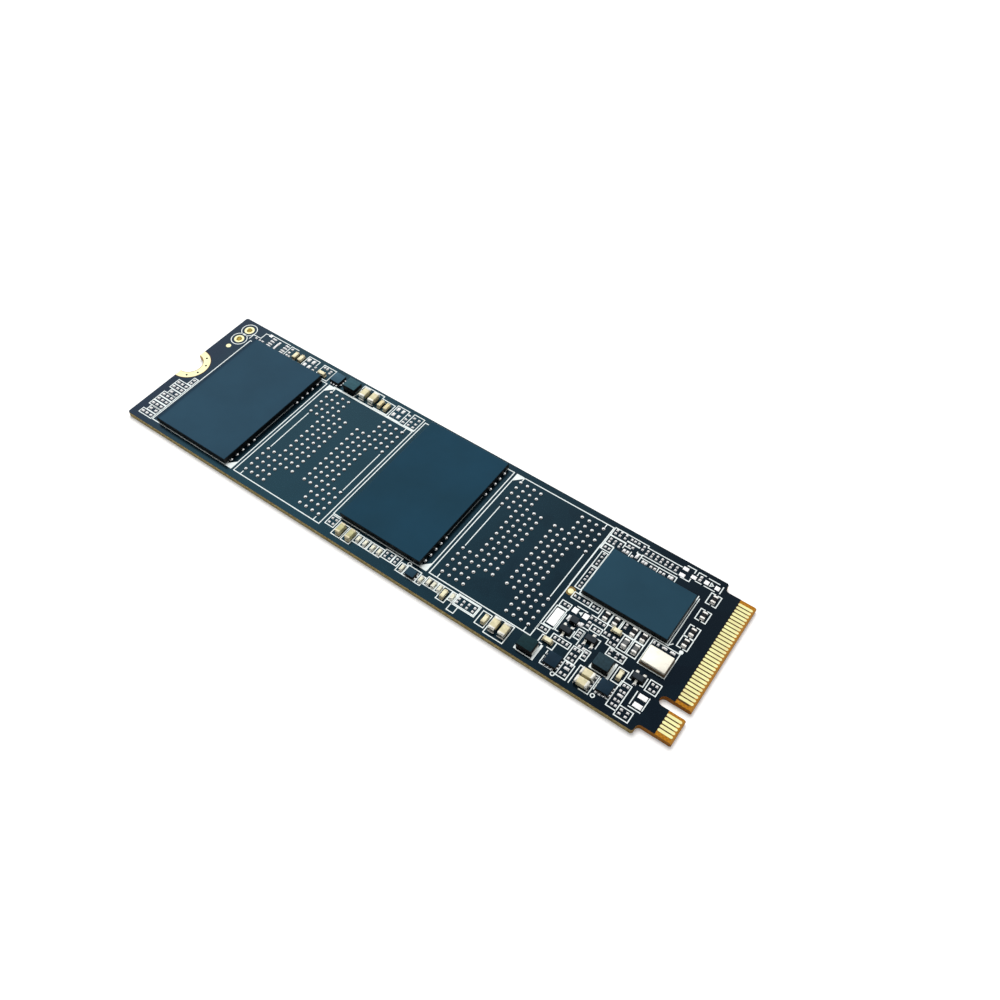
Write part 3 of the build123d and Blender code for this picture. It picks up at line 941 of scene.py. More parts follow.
def make_piece(
    name: str, surface: Surface, finish: Finish, nodes: tuple[str, ...] = (),
    smooth: float = 40,
) -> None:
    """Makes a Blender piece that rides on the board.

    Args:
        name: name of the piece.
        surface: its shape in millimetres.
        finish: its finish.
        nodes: CAD nodes that the piece stands for.
        smooth: edges below this angle in degrees are shaded round.
    """
    mesh = bpy.data.meshes.new(name)
    mesh.from_pydata((surface.points * MM).tolist(), [], surface.faces.tolist())
    shape = bmesh.new()
    shape.from_mesh(mesh)
    bmesh.ops.remove_doubles(shape, verts=shape.verts, dist=WELD_DISTANCE)
    shape.to_mesh(mesh)
    shape.free()
    mesh.shade_smooth()
    mesh.set_sharp_from_angle(angle=math.radians(smooth))
    mesh.materials.append(finish.material())
    piece = bpy.data.objects.new(name, mesh)
    bpy.context.scene.collection.objects.link(piece)
    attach(piece, "root")
    if nodes:
        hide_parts(*nodes)
    log.info("piece %s: %d faces", name, len(mesh.polygons))


def make_block(name: str, node: str, edge: float, finish: Finish) -> None:
    """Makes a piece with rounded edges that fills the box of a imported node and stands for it.

    Args:
        name: name of the piece.
        node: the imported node.
        edge: radius of the edges.
        finish: its finish.
    """
    low, high = node_box(node)
    place = [*(low + high)[:2] / 2, low[2]]
    make_piece(name, rounded_block(*(high - low), edge).copies(place), finish, (node,))


def make_balls(name: str, node: bpy.types.Object, radius: float, post_radius: float) -> None:
    """Makes squeezed solder balls under a package in place of its packed three-sided posts.

    Args:
        name: name of the piece.
        node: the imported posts, each with one corner towards +X.
        radius: radius of a ball at its foot.
        post_radius: radius of a post, from its middle to a corner.
    """
    boxes = solid_boxes(node, SolidPoints.JOINT)
    places = np.column_stack([boxes[:, 1, 0] - post_radius, boxes[:, :, 1].mean(1), boxes[:, 0, 2]])
    ball = barrel(radius, float(boxes[0, 1, 2] - boxes[0, 0, 2]))
    make_piece(name, ball.copies(places), SOLDER, (node.name,), ROUND_SHADING)


def dress(nodes: Nodes, name: str, finish: Finish) -> None:
    """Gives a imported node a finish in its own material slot."""
    nodes[name].data.materials[0] = finish.material()
    log.info("node %s: %s", name, finish.name)


def node_box(node: str) -> Array:
    """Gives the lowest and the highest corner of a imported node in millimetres."""
    return np.array(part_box(node)) / MM


def solid_boxes(node: bpy.types.Object, points: SolidPoints) -> Array:
    """Finds the box of each solid in a packed group, which keeps its solids one after another.

    Args:
        node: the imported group.
        points: how many mesh points one solid has.

    Returns:
        Lowest and highest corner of each solid in millimetres, as an array of n, 2 and 3.
    """
    flat = np.zeros(len(node.data.vertices) * 3)
    node.data.vertices.foreach_get("co", flat)
    solids = flat.reshape(-1, points.value, 3) / MM
    return np.stack([solids.min(1), solids.max(1)], 1)


def feet(node: bpy.types.Object, points: SolidPoints, level: float | None = None) -> Array:
    """Gives the middle of each solid in a packed group, at its foot or at a level.

    Args:
        node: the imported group.
        points: how many mesh points one solid has.
        level: height of the places, or nothing for each solid's own foot.

    Returns:
        One row of x, y and z in millimetres for each solid.
    """
    boxes = solid_boxes(node, points)
    middle = boxes.mean(1)
    middle[:, 2] = boxes[:, 0, 2] if level is None else level
    return middle


@dataclass
class Board:
    """The coated circuit board with its round pads, plated holes, ring and edge contacts."""

    nodes: Nodes
    hole_radius: float = 0.38
    rim_radius: float = 0.7
    rim_rise: float = 0.008
    back_rim_rise: float = 0.006
    flare: float = 0.04
    flare_depth: float = 0.03
    wall_inset: float = 0.012
    ring_print: float = 1.09
    print_width: float = 0.11
    top_pad_radius: float = 0.35
    top_pad_rise: float = 0.02
    back_pad_radius: float = 0.53
    back_pad_rise: float = 0.006
    via_radius: float = 0.15
    via_rise: float = 0.008
    via_circle: float = 2.27
    via_angles: tuple[float, ...] = (58, 22, -18, -56)
    ring_radius: float = 2.75
    notch_radius: float = 1.75
    sight_mark: Point = (21.65, -0.4)
    sight_opening: float = 0.6
    finger_rise: float = 0.004

    def build(self) -> None:
        """Dresses the board and builds its round metal."""
        dress(self.nodes, "circuit_board", COATING)
        dress(self.nodes, "mounting_ring", PALE_GOLD)
        self.fingers("top_edge_contacts", "gold_fingers", 1)
        self.fingers("bottom_edge_contacts", "back_gold_fingers", -1)
        self.plated_holes()
        self.round_pads()
        self.ring_trim()

    def fingers(self, node: str, name: str, side: int) -> None:
        """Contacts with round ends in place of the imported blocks, a hair proud of the board.

        Args:
            node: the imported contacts.
            name: name of the new piece.
            side: 1 for the top face and -1 for the back.
        """
        boxes = solid_boxes(self.nodes[node], SolidPoints.BLOCK)
        length, width, depth = boxes[0, 1] - boxes[0, 0]
        places = boxes.mean(1)
        places[:, 2] -= side * depth / 2
        shape = round_ended(length, width, depth + self.finger_rise)
        shape = Surface(shape.points * [1, 1, side], shape.faces[:, ::side])
        make_piece(name, shape.copies(places), GOLD, (node,))

    def plated_holes(self) -> None:
        """Round eyelets, a rim on each face and a barrel between, with duller walls and a printed circle."""
        places = feet(self.nodes["plated_holes"], SolidPoints.PLATED_HOLE)
        rim, hole, top = self.rim_radius, self.hole_radius, BOARD_TOP
        back, face, throat = -self.back_rim_rise, top + self.rim_rise, hole + self.flare
        profile = [(rim, 0.0), (rim, -0.004), (rim - 0.02, back), (throat, back), (hole, self.flare_depth),
                   (hole, top - self.flare_depth), (throat, face), (rim - 0.03, face), (rim, top)]
        eyelets = revolved(profile, columns=40).flipped().copies(places)
        make_piece("plated_eyelets", eyelets, PALE_GOLD, ("plated_holes",))
        wall = hole - self.wall_inset
        walls = revolved([(wall, 0.02), (wall, top - 0.02)], columns=40).flipped().copies(places)
        make_piece("hole_walls", walls, HOLE_GOLD)
        circles = printed_ring(self.ring_print, self.print_width, columns=48).copies(places)
        make_piece("hole_circles", circles, PRINT_INK)

    def round_pads(self) -> None:
        """Flat round pads with a softly rounded rim, on both faces."""
        radius, rise = self.top_pad_radius, self.top_pad_rise
        profile = [(radius, -0.01), (radius, rise * 0.5), (radius - 0.05, rise), (0.0, rise)]
        places = feet(self.nodes["top_round_pads"], SolidPoints.ROUND_PAD, BOARD_TOP)
        pads = revolved(profile, columns=24).copies(places)
        make_piece("top_gold_pads", pads, PALE_GOLD, ("top_round_pads",))
        opening = [(self.sight_opening, 0.0), (self.sight_opening - 0.03, 0.004), (radius - 0.02, 0.004)]
        opening = revolved(opening, columns=32).copies([*self.sight_mark, BOARD_TOP])
        make_piece("coating_opening", opening, BARE_LAMINATE)
        radius, rise = self.back_pad_radius, self.back_pad_rise
        profile = [(0.0, -rise), (radius - 0.03, -rise), (radius, -rise * 0.5), (radius, 0.01)]
        places = feet(self.nodes["back_round_pads"], SolidPoints.ROUND_PAD, 0)
        pads = revolved(profile, columns=24).copies(places)
        make_piece("back_gold_pads", pads, PALE_GOLD, ("back_round_pads",))

    def ring_trim(self) -> None:
        """Black caps that paint the shade inside the holes through the plated ring, its dark lip, and the
        notch's duller edge.
        """
        angle = np.radians(self.via_angles)
        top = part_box("mounting_ring")[1][2] / MM
        x, y = BOARD_START + self.via_circle * np.cos(angle), self.via_circle * np.sin(angle)
        places = np.column_stack([x, y, np.full(len(angle), top)])
        radius, rise = self.via_radius, self.via_rise
        profile = [(radius, 0.0), (radius * 0.9, rise), (radius * 0.55, rise), (0.0, rise)]
        # Painted shade: black caps stand for the shaded inside of the via holes.
        make_piece("ring_via_shade", revolved(profile, columns=14).copies(places), FILM)
        ring, notch = self.ring_radius, self.notch_radius
        lip = [(ring - 0.03, top), (ring - 0.02, top + 0.01), (ring + 0.05, top + 0.01), (ring + 0.06, top)]
        make_piece("ring_lip", self.half_ridge(lip), BROWN_LIP)
        edge = [(notch + 0.05, top + 0.006), (notch - 0.01, top + 0.006), (notch - 0.014, top - 0.02),
                (notch - 0.014, 0.02)]
        make_piece("notch_edge", self.half_ridge(edge).flipped(), NOTCH_GOLD)

    @staticmethod
    def half_ridge(profile: list[Point]) -> Surface:
        """A ridge carried along the half circle of the notch: (r cos a, r sin a, h) over the angle a.

        Args:
            profile: radius and height of the ridge.

        Returns:
            The ridge.
        """
        radius, height = np.array(profile).T
        angle = np.linspace(-QUARTER, QUARTER, 49)[:, None]
        grid = np.broadcast_arrays(BOARD_START + radius * np.cos(angle), radius * np.sin(angle), height)
        return Surface.sheet(np.stack(grid, -1))


@dataclass
class FlashSite:
    """One of the four package sites: its bumps or package, and the printed outline round it."""

    nodes: Nodes
    name: str
    centre: Point
    mark: Corner
    finish: Finish | None = None
    outline: Point = (14.05, 17.93)
    outline_shift: Point = (-0.08, -0.06)
    mark_size: float = 1.25
    line_width: float = 0.13
    guide_width: float = 0.117
    guide_half: float = 6.0
    guide_inset: float = 0.08
    guide_reach: float = 3.5
    guide_tick: float = 0.55
    bump_radius: float = 0.25
    bump_height: float = 0.19
    joint_radius: float = 0.25
    post_radius: float = 0.27

    def build(self) -> None:
        """Builds the solder and the print of the site, and dresses the package if there is one."""
        bumps = self.name + "_bumps"
        if self.finish:
            dress(self.nodes, self.name + "_package", self.finish)
            joints = self.name + "_joints"
            make_balls(joints + "_balls", self.nodes[joints], self.joint_radius, self.post_radius)
            bumps = self.name + "_side_bumps"
        drops = dome(self.bump_radius, self.bump_height).copies(feet(self.nodes[bumps], SolidPoints.BUMP))
        make_piece(bumps + "_drops", drops, DROP, (bumps,), ROUND_SHADING)
        self.outlines()

    def outlines(self) -> None:
        """The printed rectangle, the first-ball corner, and the guide lines inside."""
        middle, half = np.array(self.centre) + self.outline_shift, np.array(self.outline) / 2
        low, high = middle - half, middle + half
        frame = printed_lines(strokes((*low, *high)), self.line_width)
        lines = []
        for side in (-1, 1):
            guide = self.centre[0] + side * (self.guide_half - (self.guide_inset if self.finish else 0))
            near, far = self.centre[1] - self.guide_reach, self.centre[1] + self.guide_reach
            lines.append((guide, near, guide, far))
            lines.append((guide, low[1], guide, low[1] + self.guide_tick))
            lines.append((guide, high[1], guide, high[1] - self.guide_tick))
        guides = printed_lines(lines, self.guide_width)
        sign_x, sign_y = self.mark.value
        corner = middle + half * self.mark.value
        along = corner - np.array([sign_x * self.mark_size, 0])
        down = corner - np.array([0, sign_y * self.mark_size])
        plan = np.stack([corner, along, (along + down) / 2, down])[None]
        corner_mark = raised(plan if sign_x * sign_y > 0 else plan[:, ::-1], THICK_INK_RISE)
        make_piece(self.name + "_print", Surface.joined(frame, guides, corner_mark), PRINT_INK)


@dataclass
class Controller:
    """The controller package on its joints, with the print round it."""

    nodes: Nodes
    line_width: float = 0.12
    lines: tuple[Line, ...] = (
        (22.6, 7.5, 22.6, 0.0), (33.88, 7.5, 33.88, -0.1), (34.12, 7.2, 34.12, -0.1),
        (22.6, -0.05, 34.12, -0.05), (34.2, 0.1, 34.45, 0.4),
    )
    dot_place: Place = (35.7, 0.0, 0.0)
    dot_radius: float = 0.25
    joint_radius: float = 0.2
    post_radius: float = 0.22

    def build(self) -> None:
        """Dresses the package and builds its joints and print."""
        dress(self.nodes, "controller_package", PACKAGE)
        make_balls("controller_balls", self.nodes["controller_joints"], self.joint_radius, self.post_radius)
        radius, rise = self.dot_radius, BOARD_TOP + INK_RISE
        dot = revolved([(radius, BOARD_TOP), (radius, rise), (0.0, rise + 0.001)], columns=20)
        lines = printed_lines(self.lines, self.line_width)
        make_piece("controller_print", Surface.joined(lines, dot.copies(self.dot_place)), PRINT_INK)


@dataclass
class TwoEndedChips:
    """A group of alike ceramic chips with a plated cap on each end, and the solder that holds them."""

    nodes: Nodes
    name: str
    body_finish: Finish
    body_slot: Slot
    end_finish: Finish = TIN
    edge: float = 0.06
    body_lift: float = 0.02
    fillet_reach: float = 0.1
    fillet_rise: float = 0.4
    fillet_width: float = 1.05
    cap_edge: float = 1.2
    cap_edge_limit: float = 0.45
    fillet_inset: float = 0.99

    def build(self) -> None:
        """Builds rounded bodies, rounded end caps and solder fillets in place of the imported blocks.

        The two packed ends nearest to a body are its own, and give its turn and its length.
        """
        bodies, ends = self.name + "_bodies", self.name + "_ends"
        body_boxes = solid_boxes(self.nodes[bodies], SolidPoints.BLOCK)
        end_boxes = solid_boxes(self.nodes[ends], SolidPoints.BLOCK)
        middles, end_middles = body_boxes.mean(1), end_boxes.mean(1)
        gaps = np.linalg.norm(middles[:, None] - end_middles[None], axis=-1)
        pair = np.argsort(gaps, axis=1)[:, :2]
        span = end_middles[pair[:, 1]] - end_middles[pair[:, 0]]
        turns = np.where(np.abs(span[:, 1]) > np.abs(span[:, 0]), QUARTER, 0.0)
        apart = float(np.linalg.norm(span[0]))
        places = np.column_stack([middles[:, :2], end_boxes[pair[:, 0], 0, 2]])
        axes = [1, 0, 2] if turns[0] else [0, 1, 2]
        body, end = ((box[1] - box[0])[axes] for box in (body_boxes[0], end_boxes[pair[0, 0]]))
        ceramic = rounded_block(body[0] + end[0], body[1], body[2], self.edge)
        ceramic = ceramic.copies(places + [0, 0, self.body_lift], turns)
        make_piece(self.name + "_ceramic", ceramic, self.body_finish, (bodies,))
        cap = rounded_block(*end, min(self.edge * self.cap_edge, end[0] * self.cap_edge_limit))
        foot = fillet(self.fillet_reach, end[2] * self.fillet_rise, end[1] * self.fillet_width)
        along = np.stack([np.cos(turns), np.sin(turns), np.zeros(len(turns))], -1)
        shapes = []
        for side, turn in ((-1, math.pi), (1, 0)):
            shapes.append(cap.copies(places + side * apart / 2 * along, turns))
            face = side * (apart + end[0]) / 2 * along
            shapes.append(foot.copies(places + face * self.fillet_inset, turns + turn))
        caps = Surface.joined(*shapes)
        make_piece(self.name + "_caps", caps, self.end_finish, (ends,), CAP_SHADING)


@dataclass
class Inductor:
    """A moulded power inductor in two bent terminals."""

    nodes: Nodes
    number: int
    finish: Finish = CORE
    edge: float = 0.1
    solder_reach: float = 0.12
    solder_rise: float = 0.3
    solder_inset: float = 0.01

    def build(self) -> None:
        """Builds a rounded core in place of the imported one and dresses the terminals."""
        name = f"inductor_{self.number}"
        make_block(name + "_moulding", name + "_core", self.edge, self.finish)
        low, high = node_box(name + "_terminals")
        foot = fillet(self.solder_reach, self.solder_rise, high[1] - low[1])
        middle = (low[1] + high[1]) / 2
        ends = (high[0] - self.solder_inset, low[0] + self.solder_inset)
        solder = foot.copies([[end, middle, BOARD_TOP] for end in ends], np.array([0, math.pi]))
        make_piece(name + "_solder", solder, SOLDER)
        dress(self.nodes, name + "_terminals", TIN)


@dataclass
class LeadlessChip:
    """A small moulded chip on flat lands."""

    nodes: Nodes
    name: str
    finish: Finish = CHIP
    edge: float = 0.05
    land: Point = (0.42, 0.28)
    land_height: float = 0.08

    def build(self) -> None:
        """Builds a softened body, and pillows of solder on the lands, each turned away from the body."""
        body, lands = self.name + "_body", self.name + "_lands"
        make_block(self.name + "_moulding", body, self.edge, self.finish)
        low, high = node_box(body)
        places = feet(self.nodes[lands], SolidPoints.BLOCK, BOARD_TOP)
        outward = (np.abs(places - (low + high) / 2) / (high - low))[:, :2]
        turns = np.where(outward[:, 1] > outward[:, 0], QUARTER, 0.0)
        solder = pillow(*self.land, self.land_height).copies(places, turns)
        make_piece(self.name + "_solder", solder, SOLDER, (lands,), ROUND_SHADING)


@dataclass
class Transistor:
    """A three-lead transistor: a drafted body between bent leads."""

    number: int
    turn: float
    edge: float = 0.06
    draft: float = 0.1
    lead_pitch: float = 0.9
    lead_width: float = 0.26
    lead_thickness: float = 0.11
    lead_reach: float = 0.42
    lead_foot: float = 0.24
    lead_root: float = 0.3
    lead_inset: float = 0.02
    body_width: float = 0.8
    body_length: float = 1.4
    drop: Place = (0.4, 0.42, 0.1)
    drop_inset: float = 0.06

    def build(self) -> None:
        """Builds the body, the leads and the drops of solder round their feet."""
        name = f"transistor_{self.number}"
        low, high = node_box(name + "_body")
        middle = (low + high)[:2] / 2
        angle = math.radians(self.turn)
        body = rounded_block(self.body_length, self.body_width, high[2] - low[2], self.edge, self.draft)
        body = body.copies([*middle, low[2]], angle)
        make_piece(name + "_moulding", body, TRANSISTOR, (name + "_body",))
        wall = self.body_width / 2 - self.lead_inset
        roots = np.array([[-self.lead_pitch / 2, wall], [self.lead_pitch / 2, wall], [0, -wall]])
        feet_at = roots + np.array([[0, 1], [0, 1], [0, -1]]) * (self.lead_reach - self.drop_inset)
        turn = np.array([[math.cos(angle), math.sin(angle)], [-math.sin(angle), math.cos(angle)]])
        level = np.full(len(roots), BOARD_TOP)
        roots, feet_at = (np.column_stack([middle + plan @ turn, level]) for plan in (roots, feet_at))
        sheet = (self.lead_thickness, self.lead_width)
        lead = bent_lead(self.lead_reach, self.lead_foot, self.lead_root, *sheet)
        leads = lead.copies(roots, np.array([0, 0, math.pi]) + angle)
        make_piece(name + "_bent_leads", leads, TIN, (name + "_leads",))
        drops = pillow(*self.drop).copies(feet_at, angle)
        make_piece(name + "_solder", drops, SOLDER, smooth=ROUND_SHADING)


@dataclass
class Crystal:
    """The clock crystal: a ceramic tray under a drawn metal lid."""

    base_edge: float = 0.05
    lid_edge: float = 0.11

    def build(self) -> None:
        """Builds the tray and the drawn lid."""
        make_block("crystal_tray", "crystal_base", self.base_edge, CRYSTAL_BASE)
        make_block("crystal_drawn_lid", "crystal_lid", self.lid_edge, CRYSTAL_LID)


@dataclass(frozen=True)
class Pads:
    """Bare tinned pads at every crossing of some columns and rows, in millimetres."""

    columns: tuple[float, ...]
    rows: tuple[float, ...]
    size: Point = (0.3, 0.3)
    lift: float = 0.002

    def places(self) -> Array:
        """Gives the middle of each pad on the board's face."""
        x, y = np.meshgrid(self.columns, self.rows)
        return np.stack([x.ravel(), y.ravel(), np.full(x.size, BOARD_TOP + self.lift)], -1)


@dataclass(frozen=True)
class Region:
    """Printed boxes and paths, and bare pads, of one part of the board."""

    prints: tuple[Stroke, ...]
    pads: tuple[Pads, ...]


# Option links beside the notch: rows of three or two pads in boxes.
LINK_ROWS = (-3.5, -4.35, -6.12, -7.02, -7.95, -9.72)
SHORT_LINK_ROWS = (-5.25, -8.83)
MOUNT_END = Region(
    (
        *((-38.88, row - 0.41, -36.66, row + 0.41) for row in LINK_ROWS),
        *((-38.36, row - 0.41, -36.66, row + 0.41) for row in SHORT_LINK_ROWS),
        (-37.4, -3.0, -36.66, -1.7),
    ),
    (
        Pads((-38.5, -37.82, -37.1), LINK_ROWS, (0.42, 0.34)),
        Pads((-38.0, -37.1), SHORT_LINK_ROWS, (0.42, 0.34)), Pads((-37.03,), (-2.05, -2.65), (0.34, 0.34)),
    ),
)
# Unfitted filters and links along the far edge.
FAR_STRIP = Region(
    (
        ((-36.9, 8.2), (-36.9, 9.05), (-35.6, 9.1), (-35.6, 10.2), (-34.9, 10.3)),
        ((-34.5, 10.45), (-31.3, 10.45)), ((-30.95, 8.6), (-30.95, 10.4), (-29.7, 10.4)),
        ((-27.7, 8.5), (-27.7, 10.4), (-25.8, 10.4), (-25.8, 9.6)), (-24.95, 8.2, -22.8, 10.35),
        ((-18.0, 8.15), (-18.0, 10.6), (-14.65, 10.6), (-14.65, 10.15), (-12.45, 10.1), (-12.45, 8.15)),
        ((-14.65, 8.2), (-12.45, 8.2)), (-12.15, 8.15, -10.25, 10.4), (-9.45, 8.15, -7.8, 10.4),
        ((-21.2, 8.05), (-7.8, 8.05)),
    ),
    (
        Pads((-34.75,), (10.3,), (0.5, 0.5)), Pads((-36.1, -35.45, -34.95), (8.75,), (0.34, 0.26)),
        Pads((-33.85, -31.5), (10.05, 9.55, 9.05, 8.65), (0.7, 0.26)), Pads((-32.8,), (9.3,), (0.3, 1.6)),
        Pads((-30.5,), (10.0, 9.3, 8.75), (0.34, 0.34)), Pads((-30.05,), (8.75,)),
        Pads((-27.3, -26.5), (9.85, 8.85), (0.46, 0.66)), Pads((-25.65,), (9.25, 8.7), (0.34, 0.28)),
        Pads((-24.6, -24.15), (10.0,), (0.3, 0.36)), Pads((-23.4,), (9.9, 9.5), (0.34, 0.26)),
        Pads((-11.75, -10.95), (9.9, 8.85), (0.42, 0.6)),
        Pads((-9.9, -9.05, -8.3), (9.85, 9.1, 8.5), (0.36, 0.3)),
    ),
)
# Boxes and bare pads along the near edge.
NEAR_STRIP = Region(
    (
        (-7.4, -9.5, -6.15, -8.05), (-5.85, -10.25, -4.55, -8.3), (-4.35, -10.25, -3.1, -8.3),
        (-3.05, -9.65, -2.15, -8.4), (-2.0, -9.65, -1.1, -8.4), (-0.95, -9.65, -0.02, -8.4),
        (0.05, -9.65, 0.98, -8.4), (1.05, -9.4, 2.45, -8.15), (2.55, -9.4, 3.4, -8.15),
        (3.6, -9.88, 4.5, -8.6), (4.6, -9.88, 6.4, -8.4), (6.42, -9.9, 7.2, -8.65),
        (7.38, -9.5, 8.85, -8.3), (8.95, -9.5, 9.62, -8.3), (9.66, -10.12, 10.8, -8.3),
        (10.85, -9.5, 11.5, -8.3), (11.6, -9.65, 14.65, -8.12), (11.75, -9.5, 14.5, -8.25),
        (11.55, -10.6, 12.5, -9.65), (15.1, -10.15, 16.3, -8.3), (16.6, -10.55, 19.15, -8.05),
    ),
    (
        Pads((-7.05, -6.45), (-8.45, -9.1)), Pads((1.45, 2.1, 2.95), (-8.55, -9.05)),
        Pads((11.98, 12.65, 13.35, 14.15), (-8.65, -9.15)), Pads((6.05,), (-8.85, -9.5)),
    ),
)
# Bare filter places beyond and beside the controller.
CONTROLLER_FAR = Region(
    (
        ((21.25, 6.7), (21.25, 10.25), (25.85, 10.2), (25.85, 9.93), (30.4, 9.93)),
        ((23.4, 8.95), (23.4, 8.2)), ((23.4, 8.6), (24.2, 8.6)),
        ((25.15, 8.7), (25.15, 8.55), (25.85, 8.55), (25.85, 7.5)), ((25.85, 8.66), (30.4, 8.66)),
        ((25.85, 8.26), (30.65, 8.26), (30.65, 7.6)), ((24.55, 8.25), (24.55, 7.6)),
        ((28.3, 8.26), (28.3, 7.6)), (21.3, 6.68, 22.52, 7.58), (21.68, 4.05, 22.5, 6.4),
        (21.68, 0.38, 22.5, 3.88), ((21.05, 7.0), (21.05, 0.3)),
        ((30.9, 10.48), (32.0, 10.48), (32.0, 10.0)),
        ((30.9, 8.58), (32.0, 8.58), (32.0, 9.0)), ((32.42, 9.9), (32.42, 10.4), (33.3, 10.4)),
        ((32.6, 9.1), (33.3, 9.1)), ((33.75, 10.32), (35.1, 10.32)), ((33.7, 9.1), (35.0, 9.1)),
        ((35.65, 10.2), (35.65, 9.2)), ((34.25, 9.95), (34.6, 9.7), (34.25, 9.45), (34.25, 9.95)),
        *brackets(34.85, 7.22, 36.15, 8.8), *brackets(34.85, 4.7, 36.15, 6.28),
        *brackets(34.85, 2.1, 36.15, 3.72), *brackets(34.85, 0.45, 36.15, 2.05),
    ),
    (
        Pads((21.65, 22.25, 22.95), (10.0, 9.5, 8.5, 8.05)), Pads((23.75, 24.2, 24.7), (9.82,)),
        Pads((25.45,), (9.8, 9.3)), Pads((26.12, 26.78, 27.42, 28.05, 28.7, 29.33, 30.0), (9.5, 9.05)),
        Pads((23.9, 24.4), (8.85,)), Pads((23.75, 24.2), (7.95,), (0.34, 0.5)),
        Pads((25.4,), (8.15,), (0.36, 0.7)), Pads((26.35, 26.75, 29.85, 30.2), (7.85,), (0.34, 0.46)),
        Pads((27.45, 27.95, 28.7, 29.15, 24.9), (7.78,), (0.32, 0.36)), Pads((21.68, 22.18), (7.12,)),
        Pads((22.12,), (6.12, 5.62, 4.95, 4.45, 3.5, 3.0, 2.35, 1.85, 1.25, 0.75), (0.3, 0.26)),
        Pads((30.92,), (9.95, 8.95), (0.68, 0.5)), Pads((32.2,), (9.45,), (0.66, 0.5)),
        Pads((32.95,), (9.97, 9.5), (0.36, 0.34)), Pads((33.75, 35.12), (9.68,), (0.56, 0.56)),
    ),
)
